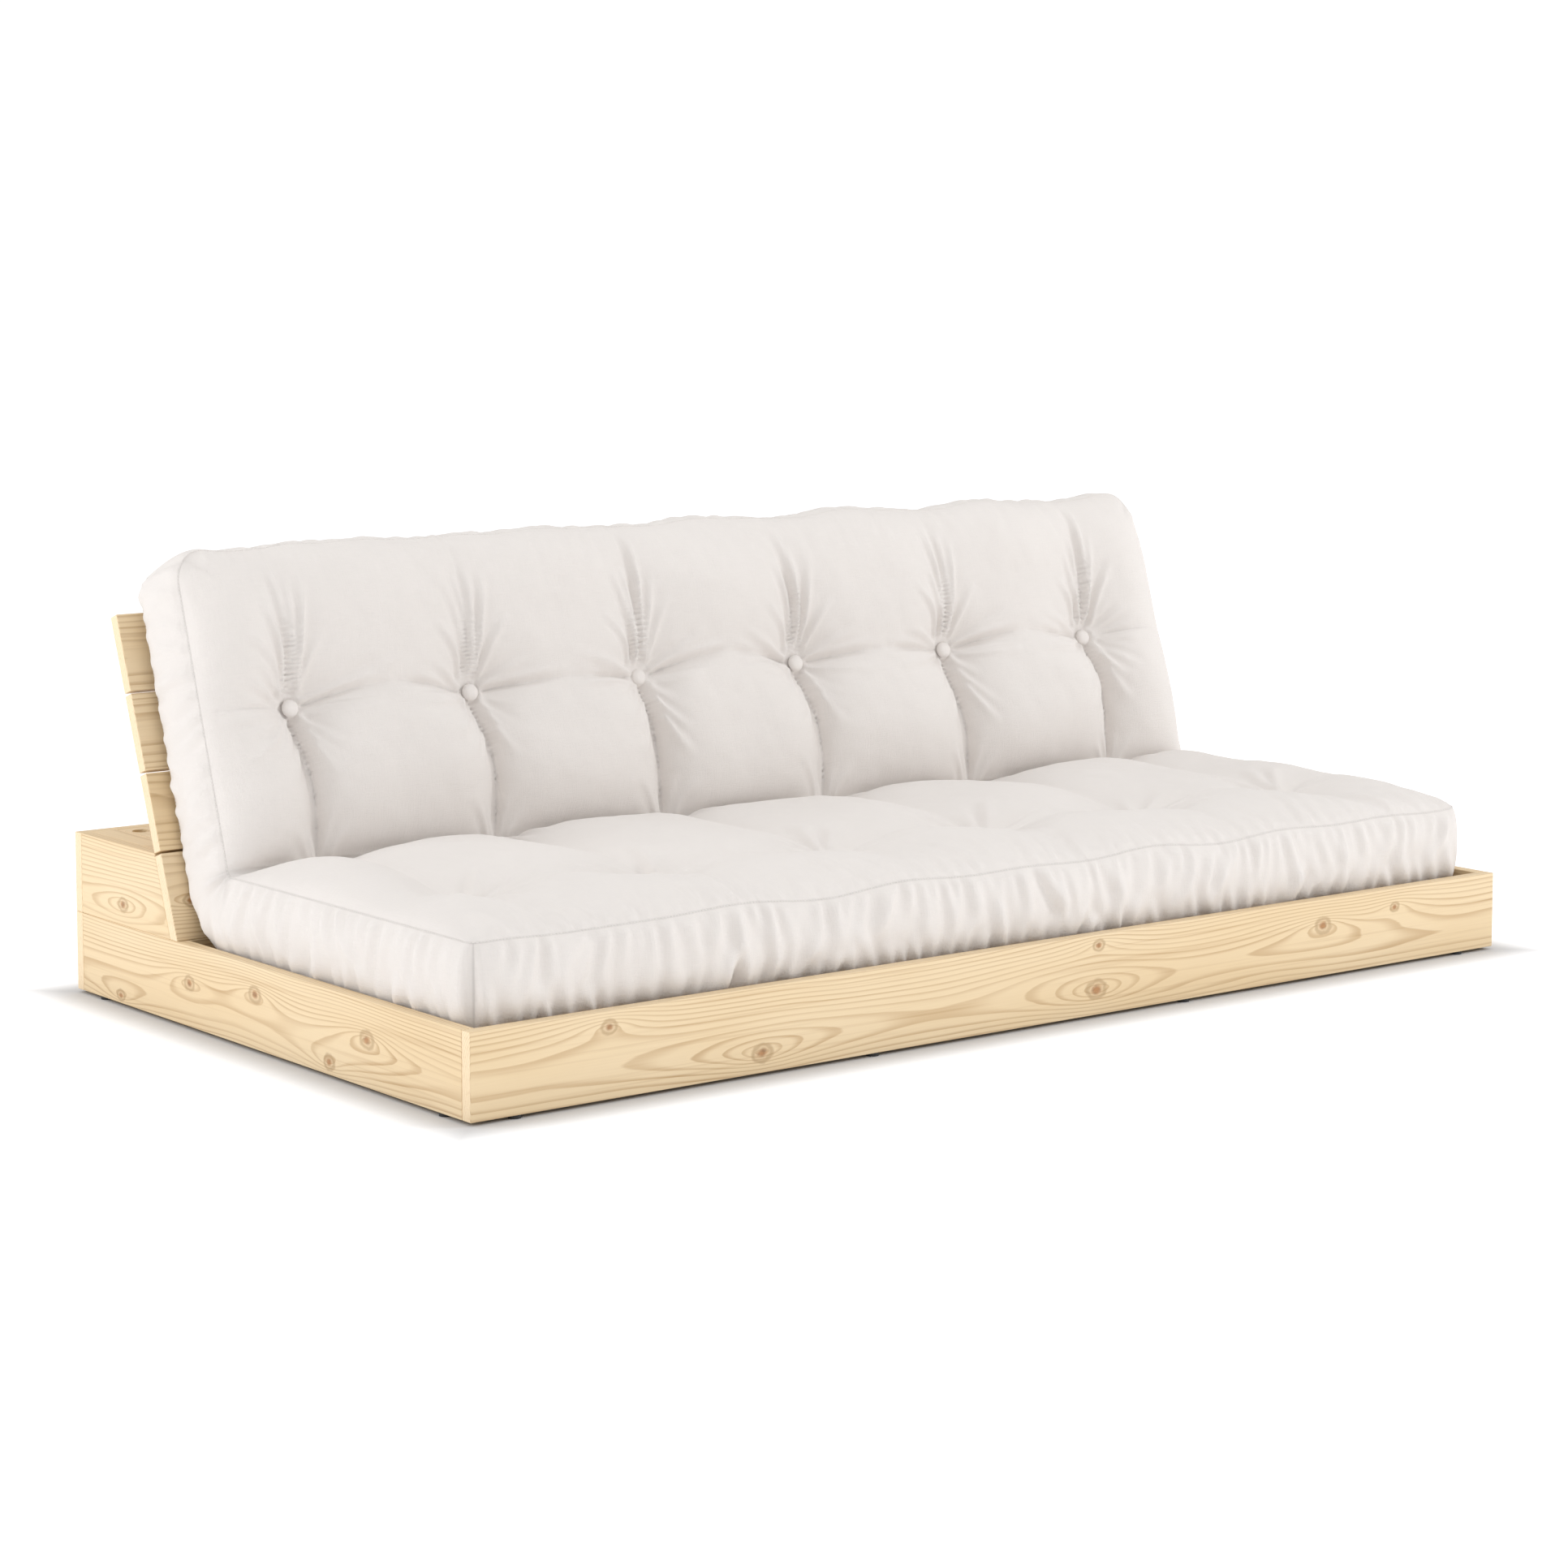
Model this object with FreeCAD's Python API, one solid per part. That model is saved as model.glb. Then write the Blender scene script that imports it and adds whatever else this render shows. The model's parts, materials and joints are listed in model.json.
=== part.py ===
"""Futon sofa bed: a low pine frame with a slatted back, a storage box behind it,
a pull-out front and one folded mattress. Millimetres, +Z up, front towards -Y,
origin on the floor under the middle of the frame."""
import FreeCAD
import Part
import math
import os

V = FreeCAD.Vector

# Overall sizes of the frame
WIDTH = 1960.0
DEPTH = 1094.0
RAIL_HEIGHT = 120.0
BOX_SIDE_HEIGHT = 122.0
BOARD = 20.0
EDGE_ROUND = 1.5
GLIDE_HEIGHT = 5.0
GLIDE_RADIUS = 9.0
GLIDE_INSET = 55.0
FRONT_GLIDE_COUNT = 4

# Slatted back
BACK_LEAN = 20.0
BACK_FOOT_Y = 231.0
BACK_SLAT = 20.0
BACK_SLAT_WIDTH = 117.0
LOWEST_SLAT_WIDTH = 132.0
BACK_SLAT_GAP = 4.0
BACK_SLAT_COUNT = 4
BATTEN_WIDTH = 60.0
BATTEN_DEPTH = 36.0
BATTEN_COUNT = 4
BATTEN_INSET = 110.0
BATTEN_TOP_SHORT = 25.0
BATTEN_FOOT_Z = 40.0
BATTEN_NOTCH_GAP = 1.5

# Storage box behind the back
FLOOR_PANEL = 8.0
FLOOR_PANEL_Z = 14.0
DIVIDER = 16.0
DIVIDER_COUNT = 2
LID = 18.0
SHELF = 18.5
LID_DEPTH = 158.0
LID_GAP = 2.0
LID_BACK_GAP = 3.0
SHELF_END = 40.0
CLEAT = 22.0
FINGER_HOLE_RADIUS = 14.0
FINGER_HOLE_INSET = 20.0
SHELF_FRONT_GAP = 1.5

# Lid hinges
HINGE_COUNT = 5
HINGE_LENGTH = 60.0
HINGE_LEAF = 1.6
HINGE_LEAF_WIDTH = 17.0
HINGE_KNUCKLE_RADIUS = 3.2
HINGE_PIN_RADIUS = 1.5
HINGE_RUNNING_GAP = 0.05
HINGE_KNUCKLES = 5
HINGE_KNUCKLE_GAP = 0.5
HINGE_ROOM = 5.0

# Seat slats, fixed and sliding, running front to back
SEAT_SLAT = 18.0
SEAT_SLAT_WIDTH = 90.0
SEAT_SLAT_PITCH = 128.0
SEAT_SLAT_COUNT = 15
SEAT_SLAT_TOP = 102.0
SLIDE_GAP = 0.5
GROOVE_DEPTH = 1.0
GROOVE_SIDE_GAP = 2.0
BEAM_DEPTH = 40.0
BEAM_HEIGHT = 44.0
BEAM_TO_LEDGER = 5.0
LEDGER_DEPTH = 30.0
LEDGER_HEIGHT = 40.0
TIE_DEPTH = 40.0
TIE_HEIGHT = 30.0
TIE_END_GAP = 6.0
RUNNER = 20.0
LEG_WIDTH = 44.0
LEG_COUNT = 3
PULL_OUT = 585.0
STOP_GAP = 2.0
CLOSED_GAP = 0.5

# Mattress, folded in an L over the seat and up the back
MATTRESS_LEFT_GAP = 10.0
MATTRESS_RIGHT_GAP = 20.0
MATTRESS_FRONT_GAP = 17.0
MATTRESS_UNDER_GAP = 3.0
SEAT_THICKNESS = 135.0
SEAT_ROUND = 28.0
BACK_THICKNESS = 122.0
BACK_LENGTH = 552.0
BACK_ROUND = 54.0
BACK_FOLD_LEAN = 18.0
FOLD_BACK_OFF = 56.0
FOLD_HEIGHT = 168.0
FOLD_GAP = 1.5
TUFT_COUNT = 6
TUFT_PITCH = 314.0
TUFT_RADIUS = 12.0
TUFT_HEIGHT = 7.0
TUFT_SHIFT = -12.0
BACK_TUFT_UP = 283.0
SEAT_TUFT_Y = -277.0

# Screws
SCREW_HEAD_RADIUS = 4.5
SCREW_RADIUS = 2.0
SCREW_LENGTH = 34.0
LEAF_SCREW_RADIUS = 2.6
LEAF_SCREW_LENGTH = 12.0

# Places worked out from the sizes above
LEFT = -WIDTH / 2
RIGHT = WIDTH / 2
INSIDE = WIDTH / 2 - BOARD
FRONT = -DEPTH / 2
REAR = DEPTH / 2
FRONT_INSIDE = FRONT + BOARD
REAR_INSIDE = REAR - BOARD
BASE = GLIDE_HEIGHT
RAIL_TOP = BASE + RAIL_HEIGHT
BOX_TOP = RAIL_TOP + BOX_SIDE_HEIGHT
LEAN = math.radians(BACK_LEAN)
BACK_SLOPE = (LOWEST_SLAT_WIDTH + (BACK_SLAT_COUNT - 1) * (BACK_SLAT_WIDTH + BACK_SLAT_GAP))
SHELF_UNDER = BOX_TOP - SHELF
SLAT_UNDER = SEAT_SLAT_TOP - SEAT_SLAT
SLIDING_UNDER = SLAT_UNDER - GROOVE_DEPTH + SLIDE_GAP
LEDGER_REAR = FRONT_INSIDE + LEDGER_DEPTH
BEAM_FRONT = LEDGER_REAR + BEAM_TO_LEDGER
BEAM_REAR = BEAM_FRONT + BEAM_DEPTH
TIE_FRONT = BEAM_REAR + STOP_GAP + PULL_OUT
BOX_FRONT_Y = BACK_FOOT_Y
SLIDING_REAR = BOX_FRONT_Y - STOP_GAP
MATTRESS_LEFT = LEFT + BOARD + MATTRESS_LEFT_GAP
MATTRESS_RIGHT = RIGHT - BOARD - MATTRESS_RIGHT_GAP
MATTRESS_MIDDLE = (MATTRESS_LEFT + MATTRESS_RIGHT) / 2
MATTRESS_UNDER = SEAT_SLAT_TOP + MATTRESS_UNDER_GAP
SEAT_TOP = MATTRESS_UNDER + SEAT_THICKNESS
FOLD_Y = BACK_FOOT_Y - FOLD_BACK_OFF
FOLD_LEAN = math.radians(BACK_FOLD_LEAN)
HINGE_Y = REAR_INSIDE - LID_BACK_GAP - LID_DEPTH - LID_GAP / 2
HINGE_Z = BOX_TOP + HINGE_LEAF + HINGE_KNUCKLE_RADIUS
HINGE_KNUCKLE = HINGE_LENGTH / HINGE_KNUCKLES


def block(x0, x1, y0, y1, z0, z1):
    """A plain board between two corners."""
    return Part.makeBox(x1 - x0, y1 - y0, z1 - z0, V(x0, y0, z0))


def planed(board, radius=EDGE_ROUND):
    """Ease every edge of a board."""
    return board.makeFillet(radius, board.Edges)


def rod(radius, length, start, direction):
    return Part.makeCylinder(radius, length, start, direction)


def prism_x(points, x0, x1):
    """A board whose end outline is given as (y, z) points, between two x places."""
    corners = [V(x0, y, z) for y, z in points]
    face = Part.Face(Part.makePolygon(corners + corners[:1]))
    return face.extrude(V(x1 - x0, 0, 0))


def up_the_back(along, out):
    """(y, z) of a place along the slatted back and out behind its front plane."""
    y = BACK_FOOT_Y + along * math.sin(LEAN) + out * math.cos(LEAN)
    z = RAIL_TOP + along * math.cos(LEAN) - out * math.sin(LEAN)
    return y, z


def back_plane_y(z, out):
    """Where the plane at a distance behind the back's front plane crosses a height."""
    return BACK_FOOT_Y + (z - RAIL_TOP) * math.tan(LEAN) + out / math.cos(LEAN)


# Front of the shelf, just behind the back slats where they lean furthest over it
SHELF_FRONT = back_plane_y(BOX_TOP, BACK_SLAT) + SHELF_FRONT_GAP


def on_fold(along, across):
    """(y, z) of a place in the mattress back, measured from the fold."""
    y = FOLD_Y + along * math.sin(FOLD_LEAN) + across * math.cos(FOLD_LEAN)
    z = FOLD_HEIGHT + along * math.cos(FOLD_LEAN) - across * math.sin(FOLD_LEAN)
    return y, z


def spread(count, half_span):
    """Evenly spaced x places from one end to the other."""
    return [-half_span + 2 * half_span * i / (count - 1) for i in range(count)]


def seat_slat_x(index):
    return (index - (SEAT_SLAT_COUNT - 1) / 2) * SEAT_SLAT_PITCH


def tuft_places():
    middle = MATTRESS_MIDDLE + TUFT_SHIFT
    return [middle + (i - (TUFT_COUNT - 1) / 2) * TUFT_PITCH for i in range(TUFT_COUNT)]


def side_boards(parts):
    """Lower plank and the short upper plank behind the slatted back, each side."""
    for name, x in (("left", LEFT), ("right", RIGHT - BOARD)):
        rail = block(x, x + BOARD, FRONT_INSIDE + CLOSED_GAP, REAR_INSIDE, BASE, RAIL_TOP)
        parts[name + "_side_rail"] = planed(rail)
        outline = [
            (back_plane_y(RAIL_TOP, BACK_SLAT), RAIL_TOP),
            (REAR_INSIDE, RAIL_TOP),
            (REAR_INSIDE, BOX_TOP),
            (back_plane_y(BOX_TOP, BACK_SLAT), BOX_TOP),
        ]
        parts[name + "_box_side"] = planed(prism_x(outline, x, x + BOARD))


def rear_boards(parts):
    lower = block(LEFT, RIGHT, REAR_INSIDE, REAR, BASE, RAIL_TOP)
    upper = block(LEFT, RIGHT, REAR_INSIDE, REAR, RAIL_TOP, BOX_TOP)
    parts["rear_board_lower"] = planed(lower)
    parts["rear_board_upper"] = planed(upper)


def divider_places():
    return spread(DIVIDER_COUNT, INSIDE / 3)


def box_bays():
    """(left, right) of each bay of the storage box."""
    edges = [-INSIDE]
    for x in divider_places():
        edges += [x - DIVIDER / 2, x + DIVIDER / 2]
    edges.append(INSIDE)
    return list(zip(edges[0::2], edges[1::2]))


def storage_box(parts):
    """Front wall, floor, dividers and the cleats that carry the shelf and lid."""
    wall_back = BACK_FOOT_Y + BOARD
    floor_top = FLOOR_PANEL_Z + FLOOR_PANEL
    parts["box_front_board"] = planed(
        block(-INSIDE, INSIDE, BACK_FOOT_Y, wall_back, BASE, RAIL_TOP))
    parts["box_floor"] = block(-INSIDE, INSIDE, wall_back, REAR_INSIDE, FLOOR_PANEL_Z, floor_top)
    outline = [
        (wall_back, floor_top),
        (REAR_INSIDE, floor_top),
        (REAR_INSIDE, SHELF_UNDER),
        (back_plane_y(SHELF_UNDER, BACK_SLAT) + SHELF_FRONT_GAP, SHELF_UNDER),
        (back_plane_y(RAIL_TOP, BACK_SLAT) + SHELF_FRONT_GAP, RAIL_TOP),
        (wall_back, RAIL_TOP),
    ]
    for index, x in enumerate(divider_places()):
        divider = prism_x(outline, x - DIVIDER / 2, x + DIVIDER / 2)
        parts["box_divider_%d" % (index + 1)] = divider
    low = SHELF_UNDER - CLEAT
    side_cleats = [
        block(x, x + CLEAT, SHELF_FRONT, REAR_INSIDE, low, SHELF_UNDER)
        for x in (-INSIDE, INSIDE - CLEAT)
    ]
    rear_cleats = []
    for x0, x1 in box_bays():
        x0 = max(x0, -INSIDE + CLEAT)
        x1 = min(x1, INSIDE - CLEAT)
        rear_cleats.append(block(x0, x1, REAR_INSIDE - CLEAT, REAR_INSIDE, low, SHELF_UNDER))
    parts["shelf_cleats"] = Part.makeCompound(side_cleats + rear_cleats)


def batten_places():
    return spread(BATTEN_COUNT, WIDTH / 2 - BATTEN_INSET - BATTEN_WIDTH / 2)


def batten_rear_y(z):
    return back_plane_y(z, BACK_SLAT + BATTEN_DEPTH)


def back_battens(parts):
    """Sawn battens: an upright foot inside the box and a leaning upper part."""
    wall_back = BACK_FOOT_Y + BOARD
    foot_rear = wall_back + BATTEN_DEPTH
    knee_z = RAIL_TOP - (batten_rear_y(RAIL_TOP) - foot_rear) / math.tan(LEAN)
    top = BACK_SLOPE - BATTEN_TOP_SHORT
    outline = [
        (wall_back, BATTEN_FOOT_Z),
        (foot_rear, BATTEN_FOOT_Z),
        (foot_rear, knee_z),
        up_the_back(top, BACK_SLAT + BATTEN_DEPTH),
        up_the_back(top, BACK_SLAT),
        (back_plane_y(RAIL_TOP, BACK_SLAT), RAIL_TOP),
        (wall_back, RAIL_TOP),
    ]
    for index, x in enumerate(batten_places()):
        batten = prism_x(outline, x - BATTEN_WIDTH / 2, x + BATTEN_WIDTH / 2)
        parts["backrest_batten_%d" % (index + 1)] = batten


def back_slats(parts):
    """Wide slats across the back, the lowest with its foot cut level."""
    start = LOWEST_SLAT_WIDTH + BACK_SLAT_GAP
    lowest = [
        up_the_back(0, 0),
        (back_plane_y(RAIL_TOP, BACK_SLAT), RAIL_TOP),
        up_the_back(LOWEST_SLAT_WIDTH, BACK_SLAT),
        up_the_back(LOWEST_SLAT_WIDTH, 0),
    ]
    parts["backrest_slat_1"] = planed(prism_x(lowest, LEFT, RIGHT))
    for index in range(1, BACK_SLAT_COUNT):
        outline = [
            up_the_back(start, 0),
            up_the_back(start, BACK_SLAT),
            up_the_back(start + BACK_SLAT_WIDTH, BACK_SLAT),
            up_the_back(start + BACK_SLAT_WIDTH, 0),
        ]
        parts["backrest_slat_%d" % (index + 1)] = planed(prism_x(outline, LEFT, RIGHT))
        start += BACK_SLAT_WIDTH + BACK_SLAT_GAP


def shelf(parts):
    """Fixed strip in front of the lid, notched round the battens, and two end strips."""
    rear = HINGE_Y - LID_GAP / 2
    strip = block(-INSIDE, INSIDE, SHELF_FRONT, rear, SHELF_UNDER, BOX_TOP)
    notch_rear = batten_rear_y(BOX_TOP) + BATTEN_NOTCH_GAP
    half = BATTEN_WIDTH / 2 + BATTEN_NOTCH_GAP
    for x in batten_places():
        notch = block(x - half, x + half, SHELF_FRONT - BOARD, notch_rear,
                      SHELF_UNDER - BOARD, BOX_TOP + BOARD)
        strip = strip.cut(notch)
    parts["shelf_strip"] = strip
    for name, x in (("left", -INSIDE), ("right", INSIDE - SHELF_END)):
        end = block(x, x + SHELF_END, rear, REAR_INSIDE, SHELF_UNDER, BOX_TOP)
        parts[name + "_shelf_end"] = planed(end, EDGE_ROUND / 2)


def storage_lid(parts):
    """Lid between the end strips, with a finger hole near each rear corner."""
    half = INSIDE - SHELF_END - LID_GAP
    y1 = REAR_INSIDE - LID_BACK_GAP
    lid = block(-half, half, HINGE_Y + LID_GAP / 2, y1, BOX_TOP - LID, BOX_TOP)
    lid = planed(lid, EDGE_ROUND / 2)
    y = y1 - FINGER_HOLE_INSET - FINGER_HOLE_RADIUS
    for x in (-half + FINGER_HOLE_INSET, half - FINGER_HOLE_INSET):
        hole = rod(FINGER_HOLE_RADIUS, 2 * LID, V(x, y, BOX_TOP - 1.5 * LID), V(0, 0, 1))
        lid = lid.cut(hole)
    parts["storage_lid"] = lid


def hinge_places():
    return spread(HINGE_COUNT, INSIDE - SHELF_END - 2 * HINGE_LENGTH)


def along_hinge(radius, x0, x1):
    """A rod on the lid's hinge line."""
    return rod(radius, x1 - x0, V(x0, HINGE_Y, HINGE_Z), V(1, 0, 0))


def hinge_leaf(x, side, first, bore_radius):
    """One leaf of a butt hinge: side is -1 in front of the pin and +1 behind it,
    and first is the number of its first knuckle."""
    left = x - HINGE_LENGTH / 2
    right = x + HINGE_LENGTH / 2
    far = HINGE_Y + side * HINGE_LEAF_WIDTH
    leaf = block(left, right, min(far, HINGE_Y), max(far, HINGE_Y), BOX_TOP, BOX_TOP + HINGE_LEAF)
    web_y = min(HINGE_Y, HINGE_Y + side * HINGE_KNUCKLE_RADIUS)
    for index in range(HINGE_KNUCKLES):
        x0 = left + index * HINGE_KNUCKLE
        x1 = x0 + HINGE_KNUCKLE
        if (index - first) % 2:
            leaf = leaf.cut(block(x0, x1, HINGE_Y - HINGE_ROOM, HINGE_Y + HINGE_ROOM,
                                  BOX_TOP, HINGE_Z))
    for index in range(first, HINGE_KNUCKLES, 2):
        x0 = left + index * HINGE_KNUCKLE + HINGE_KNUCKLE_GAP / 2
        x1 = x0 + HINGE_KNUCKLE - HINGE_KNUCKLE_GAP
        web = block(x0, x1, web_y, web_y + HINGE_KNUCKLE_RADIUS, BOX_TOP, HINGE_Z)
        leaf = leaf.fuse([web, along_hinge(HINGE_KNUCKLE_RADIUS, x0, x1)])
    leaf = leaf.cut(along_hinge(bore_radius, left - HINGE_LENGTH, right + HINGE_LENGTH))
    return leaf.removeSplitter()


def lid_hinges(parts):
    """Butt hinges on top of the shelf strip and lid, with their pins."""
    fixed, moving, pins = [], [], []
    for x in hinge_places():
        fixed.append(hinge_leaf(x, -1, 0, HINGE_PIN_RADIUS))
        moving.append(hinge_leaf(x, 1, 1, HINGE_PIN_RADIUS + HINGE_RUNNING_GAP))
        pins.append(along_hinge(HINGE_PIN_RADIUS, x - HINGE_LENGTH / 2, x + HINGE_LENGTH / 2))
    parts["hinge_leaves_shelf"] = Part.makeCompound(fixed)
    parts["hinge_leaves_lid"] = Part.makeCompound(moving)
    parts["hinge_pins"] = Part.makeCompound(pins)


def seat_slat_x(index):
    return (index - (SEAT_SLAT_COUNT - 1) / 2) * SEAT_SLAT_PITCH


def grooved(beam, y0, y1):
    """Cut shallow grooves across a beam's top where the sliding slats run."""
    half = SEAT_SLAT_WIDTH / 2 + GROOVE_SIDE_GAP
    for index in range(1, SEAT_SLAT_COUNT, 2):
        x = seat_slat_x(index)
        beam = beam.cut(block(x - half, x + half, y0 - BOARD, y1 + BOARD,
                              SLAT_UNDER - GROOVE_DEPTH, SLAT_UNDER + GROOVE_DEPTH))
    return beam


def seat_beams(parts):
    """Front beam on its legs, rear ledger on the box wall, and the two runners."""
    beam_under = SLAT_UNDER - BEAM_HEIGHT
    beam = block(-INSIDE, INSIDE, BEAM_FRONT, BEAM_REAR, beam_under, SLAT_UNDER)
    parts["front_beam"] = grooved(beam, BEAM_FRONT, BEAM_REAR)
    parts["beam_legs"] = Part.makeCompound([
        block(x - LEG_WIDTH / 2, x + LEG_WIDTH / 2, BEAM_FRONT, BEAM_REAR, BASE, beam_under)
        for x in leg_places()
    ])
    y0 = BACK_FOOT_Y - LEDGER_DEPTH
    ledger = block(-INSIDE, INSIDE, y0, BACK_FOOT_Y, SLAT_UNDER - LEDGER_HEIGHT, SLAT_UNDER)
    parts["rear_ledger"] = grooved(ledger, y0, BACK_FOOT_Y)
    top = SLIDING_UNDER - TIE_HEIGHT - SLIDE_GAP
    for name, x in (("left", -INSIDE), ("right", INSIDE - RUNNER)):
        parts[name + "_runner"] = block(x, x + RUNNER, BEAM_REAR, y0, top - RUNNER, top)


def leg_places():
    return spread(LEG_COUNT, INSIDE - LEG_WIDTH / 2)


def seat_slats(parts):
    """Every second slat is fixed; the ones between slide out with the front board."""
    for index in range(SEAT_SLAT_COUNT):
        x0 = seat_slat_x(index) - SEAT_SLAT_WIDTH / 2
        x1 = x0 + SEAT_SLAT_WIDTH
        if index % 2:
            slat = block(x0, x1, FRONT_INSIDE, SLIDING_REAR, SLIDING_UNDER, SLIDING_UNDER + SEAT_SLAT)
            parts["sliding_slat_%d" % (index // 2 + 1)] = planed(slat)
        else:
            slat = block(x0, x1, BEAM_FRONT, BACK_FOOT_Y, SLAT_UNDER, SEAT_SLAT_TOP)
            parts["fixed_slat_%d" % (index // 2 + 1)] = planed(slat)


def pull_out(parts):
    """Front board, its ledger, and the tie under the sliding slats' rear ends."""
    parts["front_board"] = planed(block(LEFT, RIGHT, FRONT, FRONT_INSIDE, BASE, RAIL_TOP))
    half = INSIDE - TIE_END_GAP
    parts["front_ledger"] = block(
        -half, half, FRONT_INSIDE, LEDGER_REAR, SLIDING_UNDER - LEDGER_HEIGHT, SLIDING_UNDER)
    parts["slat_tie"] = block(
        -half, half, TIE_FRONT, TIE_FRONT + TIE_DEPTH, SLIDING_UNDER - TIE_HEIGHT, SLIDING_UNDER)


def glides(parts):
    """Low feet under the side rails, rear board and legs, and under the front board."""
    side = INSIDE + BOARD / 2
    places = [(sx * side, y) for sx in (-1, 1)
              for y in (FRONT_INSIDE + GLIDE_INSET, REAR_INSIDE - GLIDE_INSET)]
    places += [(x, (BEAM_FRONT + BEAM_REAR) / 2) for x in leg_places()]
    places += [(x, REAR - BOARD / 2) for x in divider_places()]
    front = [(x, FRONT + BOARD / 2) for x in spread(FRONT_GLIDE_COUNT, INSIDE - GLIDE_INSET)]
    for name, group in (("frame_glides", places), ("front_glides", front)):
        parts[name] = Part.makeCompound(
            [rod(GLIDE_RADIUS, GLIDE_HEIGHT, V(x, y, 0), V(0, 0, 1)) for x, y in group])


def screw(place, inward, head_radius, shank_radius, length):
    """Countersunk screw, its head flush at a place and its shank along a direction."""
    depth = head_radius - shank_radius
    head = Part.makeCone(head_radius, shank_radius, depth, place, inward)
    return head.fuse(rod(shank_radius, length, place, inward))


def drive_in(parts, name, nodes, screws):
    """Add a group of screws and open their holes in the pieces they go through."""
    group = Part.makeCompound(screws)
    for node in nodes:
        parts[node] = parts[node].cut(group)
    parts[name] = group


def wood_screw(place, inward):
    return screw(place, inward, SCREW_HEAD_RADIUS, SCREW_RADIUS, SCREW_LENGTH)


def frame_screws(parts):
    """Screws through the back slats into the battens and down through the seat slats."""
    inward = V(0, math.cos(LEAN), -math.sin(LEAN))
    start = 0
    screws = []
    for index in range(BACK_SLAT_COUNT):
        width = LOWEST_SLAT_WIDTH if index == 0 else BACK_SLAT_WIDTH
        for share in (0.25, 0.75):
            y, z = up_the_back(start + share * width, 0)
            screws += [wood_screw(V(x, y, z), inward) for x in batten_places()]
        start += width + BACK_SLAT_GAP
    nodes = ["backrest_slat_%d" % (i + 1) for i in range(BACK_SLAT_COUNT)]
    nodes += ["backrest_batten_%d" % (i + 1) for i in range(BATTEN_COUNT)]
    drive_in(parts, "backrest_screws", nodes, screws)
    down = V(0, 0, -1)
    kinds = (
        ("fixed", 0, SEAT_SLAT_TOP, (BEAM_FRONT + BEAM_REAR) / 2, BACK_FOOT_Y - LEDGER_DEPTH / 2,
         ["front_beam", "rear_ledger"]),
        ("sliding", 1, SLIDING_UNDER + SEAT_SLAT, FRONT_INSIDE + LEDGER_DEPTH / 2,
         TIE_FRONT + TIE_DEPTH / 2, ["front_ledger", "slat_tie"]),
    )
    for kind, first, top, y0, y1, nodes in kinds:
        xs = [seat_slat_x(i) for i in range(first, SEAT_SLAT_COUNT, 2)]
        screws = [wood_screw(V(x, y, top), down) for x in xs for y in (y0, y1)]
        slats = ["%s_slat_%d" % (kind, i + 1) for i in range(len(xs))]
        drive_in(parts, kind + "_slat_screws", slats + nodes, screws)


def hinge_screws(parts):
    """Two small screws in each hinge leaf."""
    down = V(0, 0, -1)
    for name, side, leaves, board in (
            ("shelf", -1, "hinge_leaves_shelf", "shelf_strip"),
            ("lid", 1, "hinge_leaves_lid", "storage_lid")):
        y = HINGE_Y + side * (HINGE_LEAF_WIDTH + HINGE_ROOM) / 2
        screws = []
        for x in hinge_places():
            for offset in (-HINGE_LENGTH / 3, HINGE_LENGTH / 3):
                place = V(x + offset, y, BOX_TOP + HINGE_LEAF)
                screws.append(screw(place, down, LEAF_SCREW_RADIUS, LEAF_SCREW_RADIUS / 2,
                                    LEAF_SCREW_LENGTH))
        drive_in(parts, "hinge_screws_" + name, [leaves, board], screws)


def mattress(parts):
    """The folded mattress as two plain solids that meet at the fold."""
    half = BACK_THICKNESS / 2
    crease = (SEAT_TOP - FOLD_HEIGHT - half * math.sin(FOLD_LEAN)) / math.cos(FOLD_LEAN)
    crease_y = on_fold(crease, -half)[0]
    front = FRONT_INSIDE + MATTRESS_FRONT_GAP
    seat_outline = [
        (front, MATTRESS_UNDER),
        (FOLD_Y - FOLD_GAP, MATTRESS_UNDER),
        (FOLD_Y - FOLD_GAP, FOLD_HEIGHT),
        (crease_y - FOLD_GAP, SEAT_TOP),
        (front, SEAT_TOP),
    ]
    seat = prism_x(seat_outline, MATTRESS_LEFT, MATTRESS_RIGHT)
    long_edges = [e for e in seat.Edges if e.BoundBox.YMax < front + EDGE_ROUND
                  and e.BoundBox.XLength > SEAT_THICKNESS]
    parts["mattress_seat"] = seat.makeFillet(SEAT_ROUND, long_edges)
    back_outline = [
        on_fold(0, 0),
        on_fold(0, half),
        on_fold(BACK_LENGTH, half),
        on_fold(BACK_LENGTH, -half),
        on_fold(crease, -half),
    ]
    back = prism_x(back_outline, MATTRESS_LEFT, MATTRESS_RIGHT)
    top_z = on_fold(BACK_LENGTH, half)[1]
    top_edges = [e for e in back.Edges if e.BoundBox.ZMin > top_z - EDGE_ROUND
                 and e.BoundBox.XLength > BACK_THICKNESS]
    parts["mattress_back"] = back.makeFillet(BACK_ROUND, top_edges)


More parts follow.
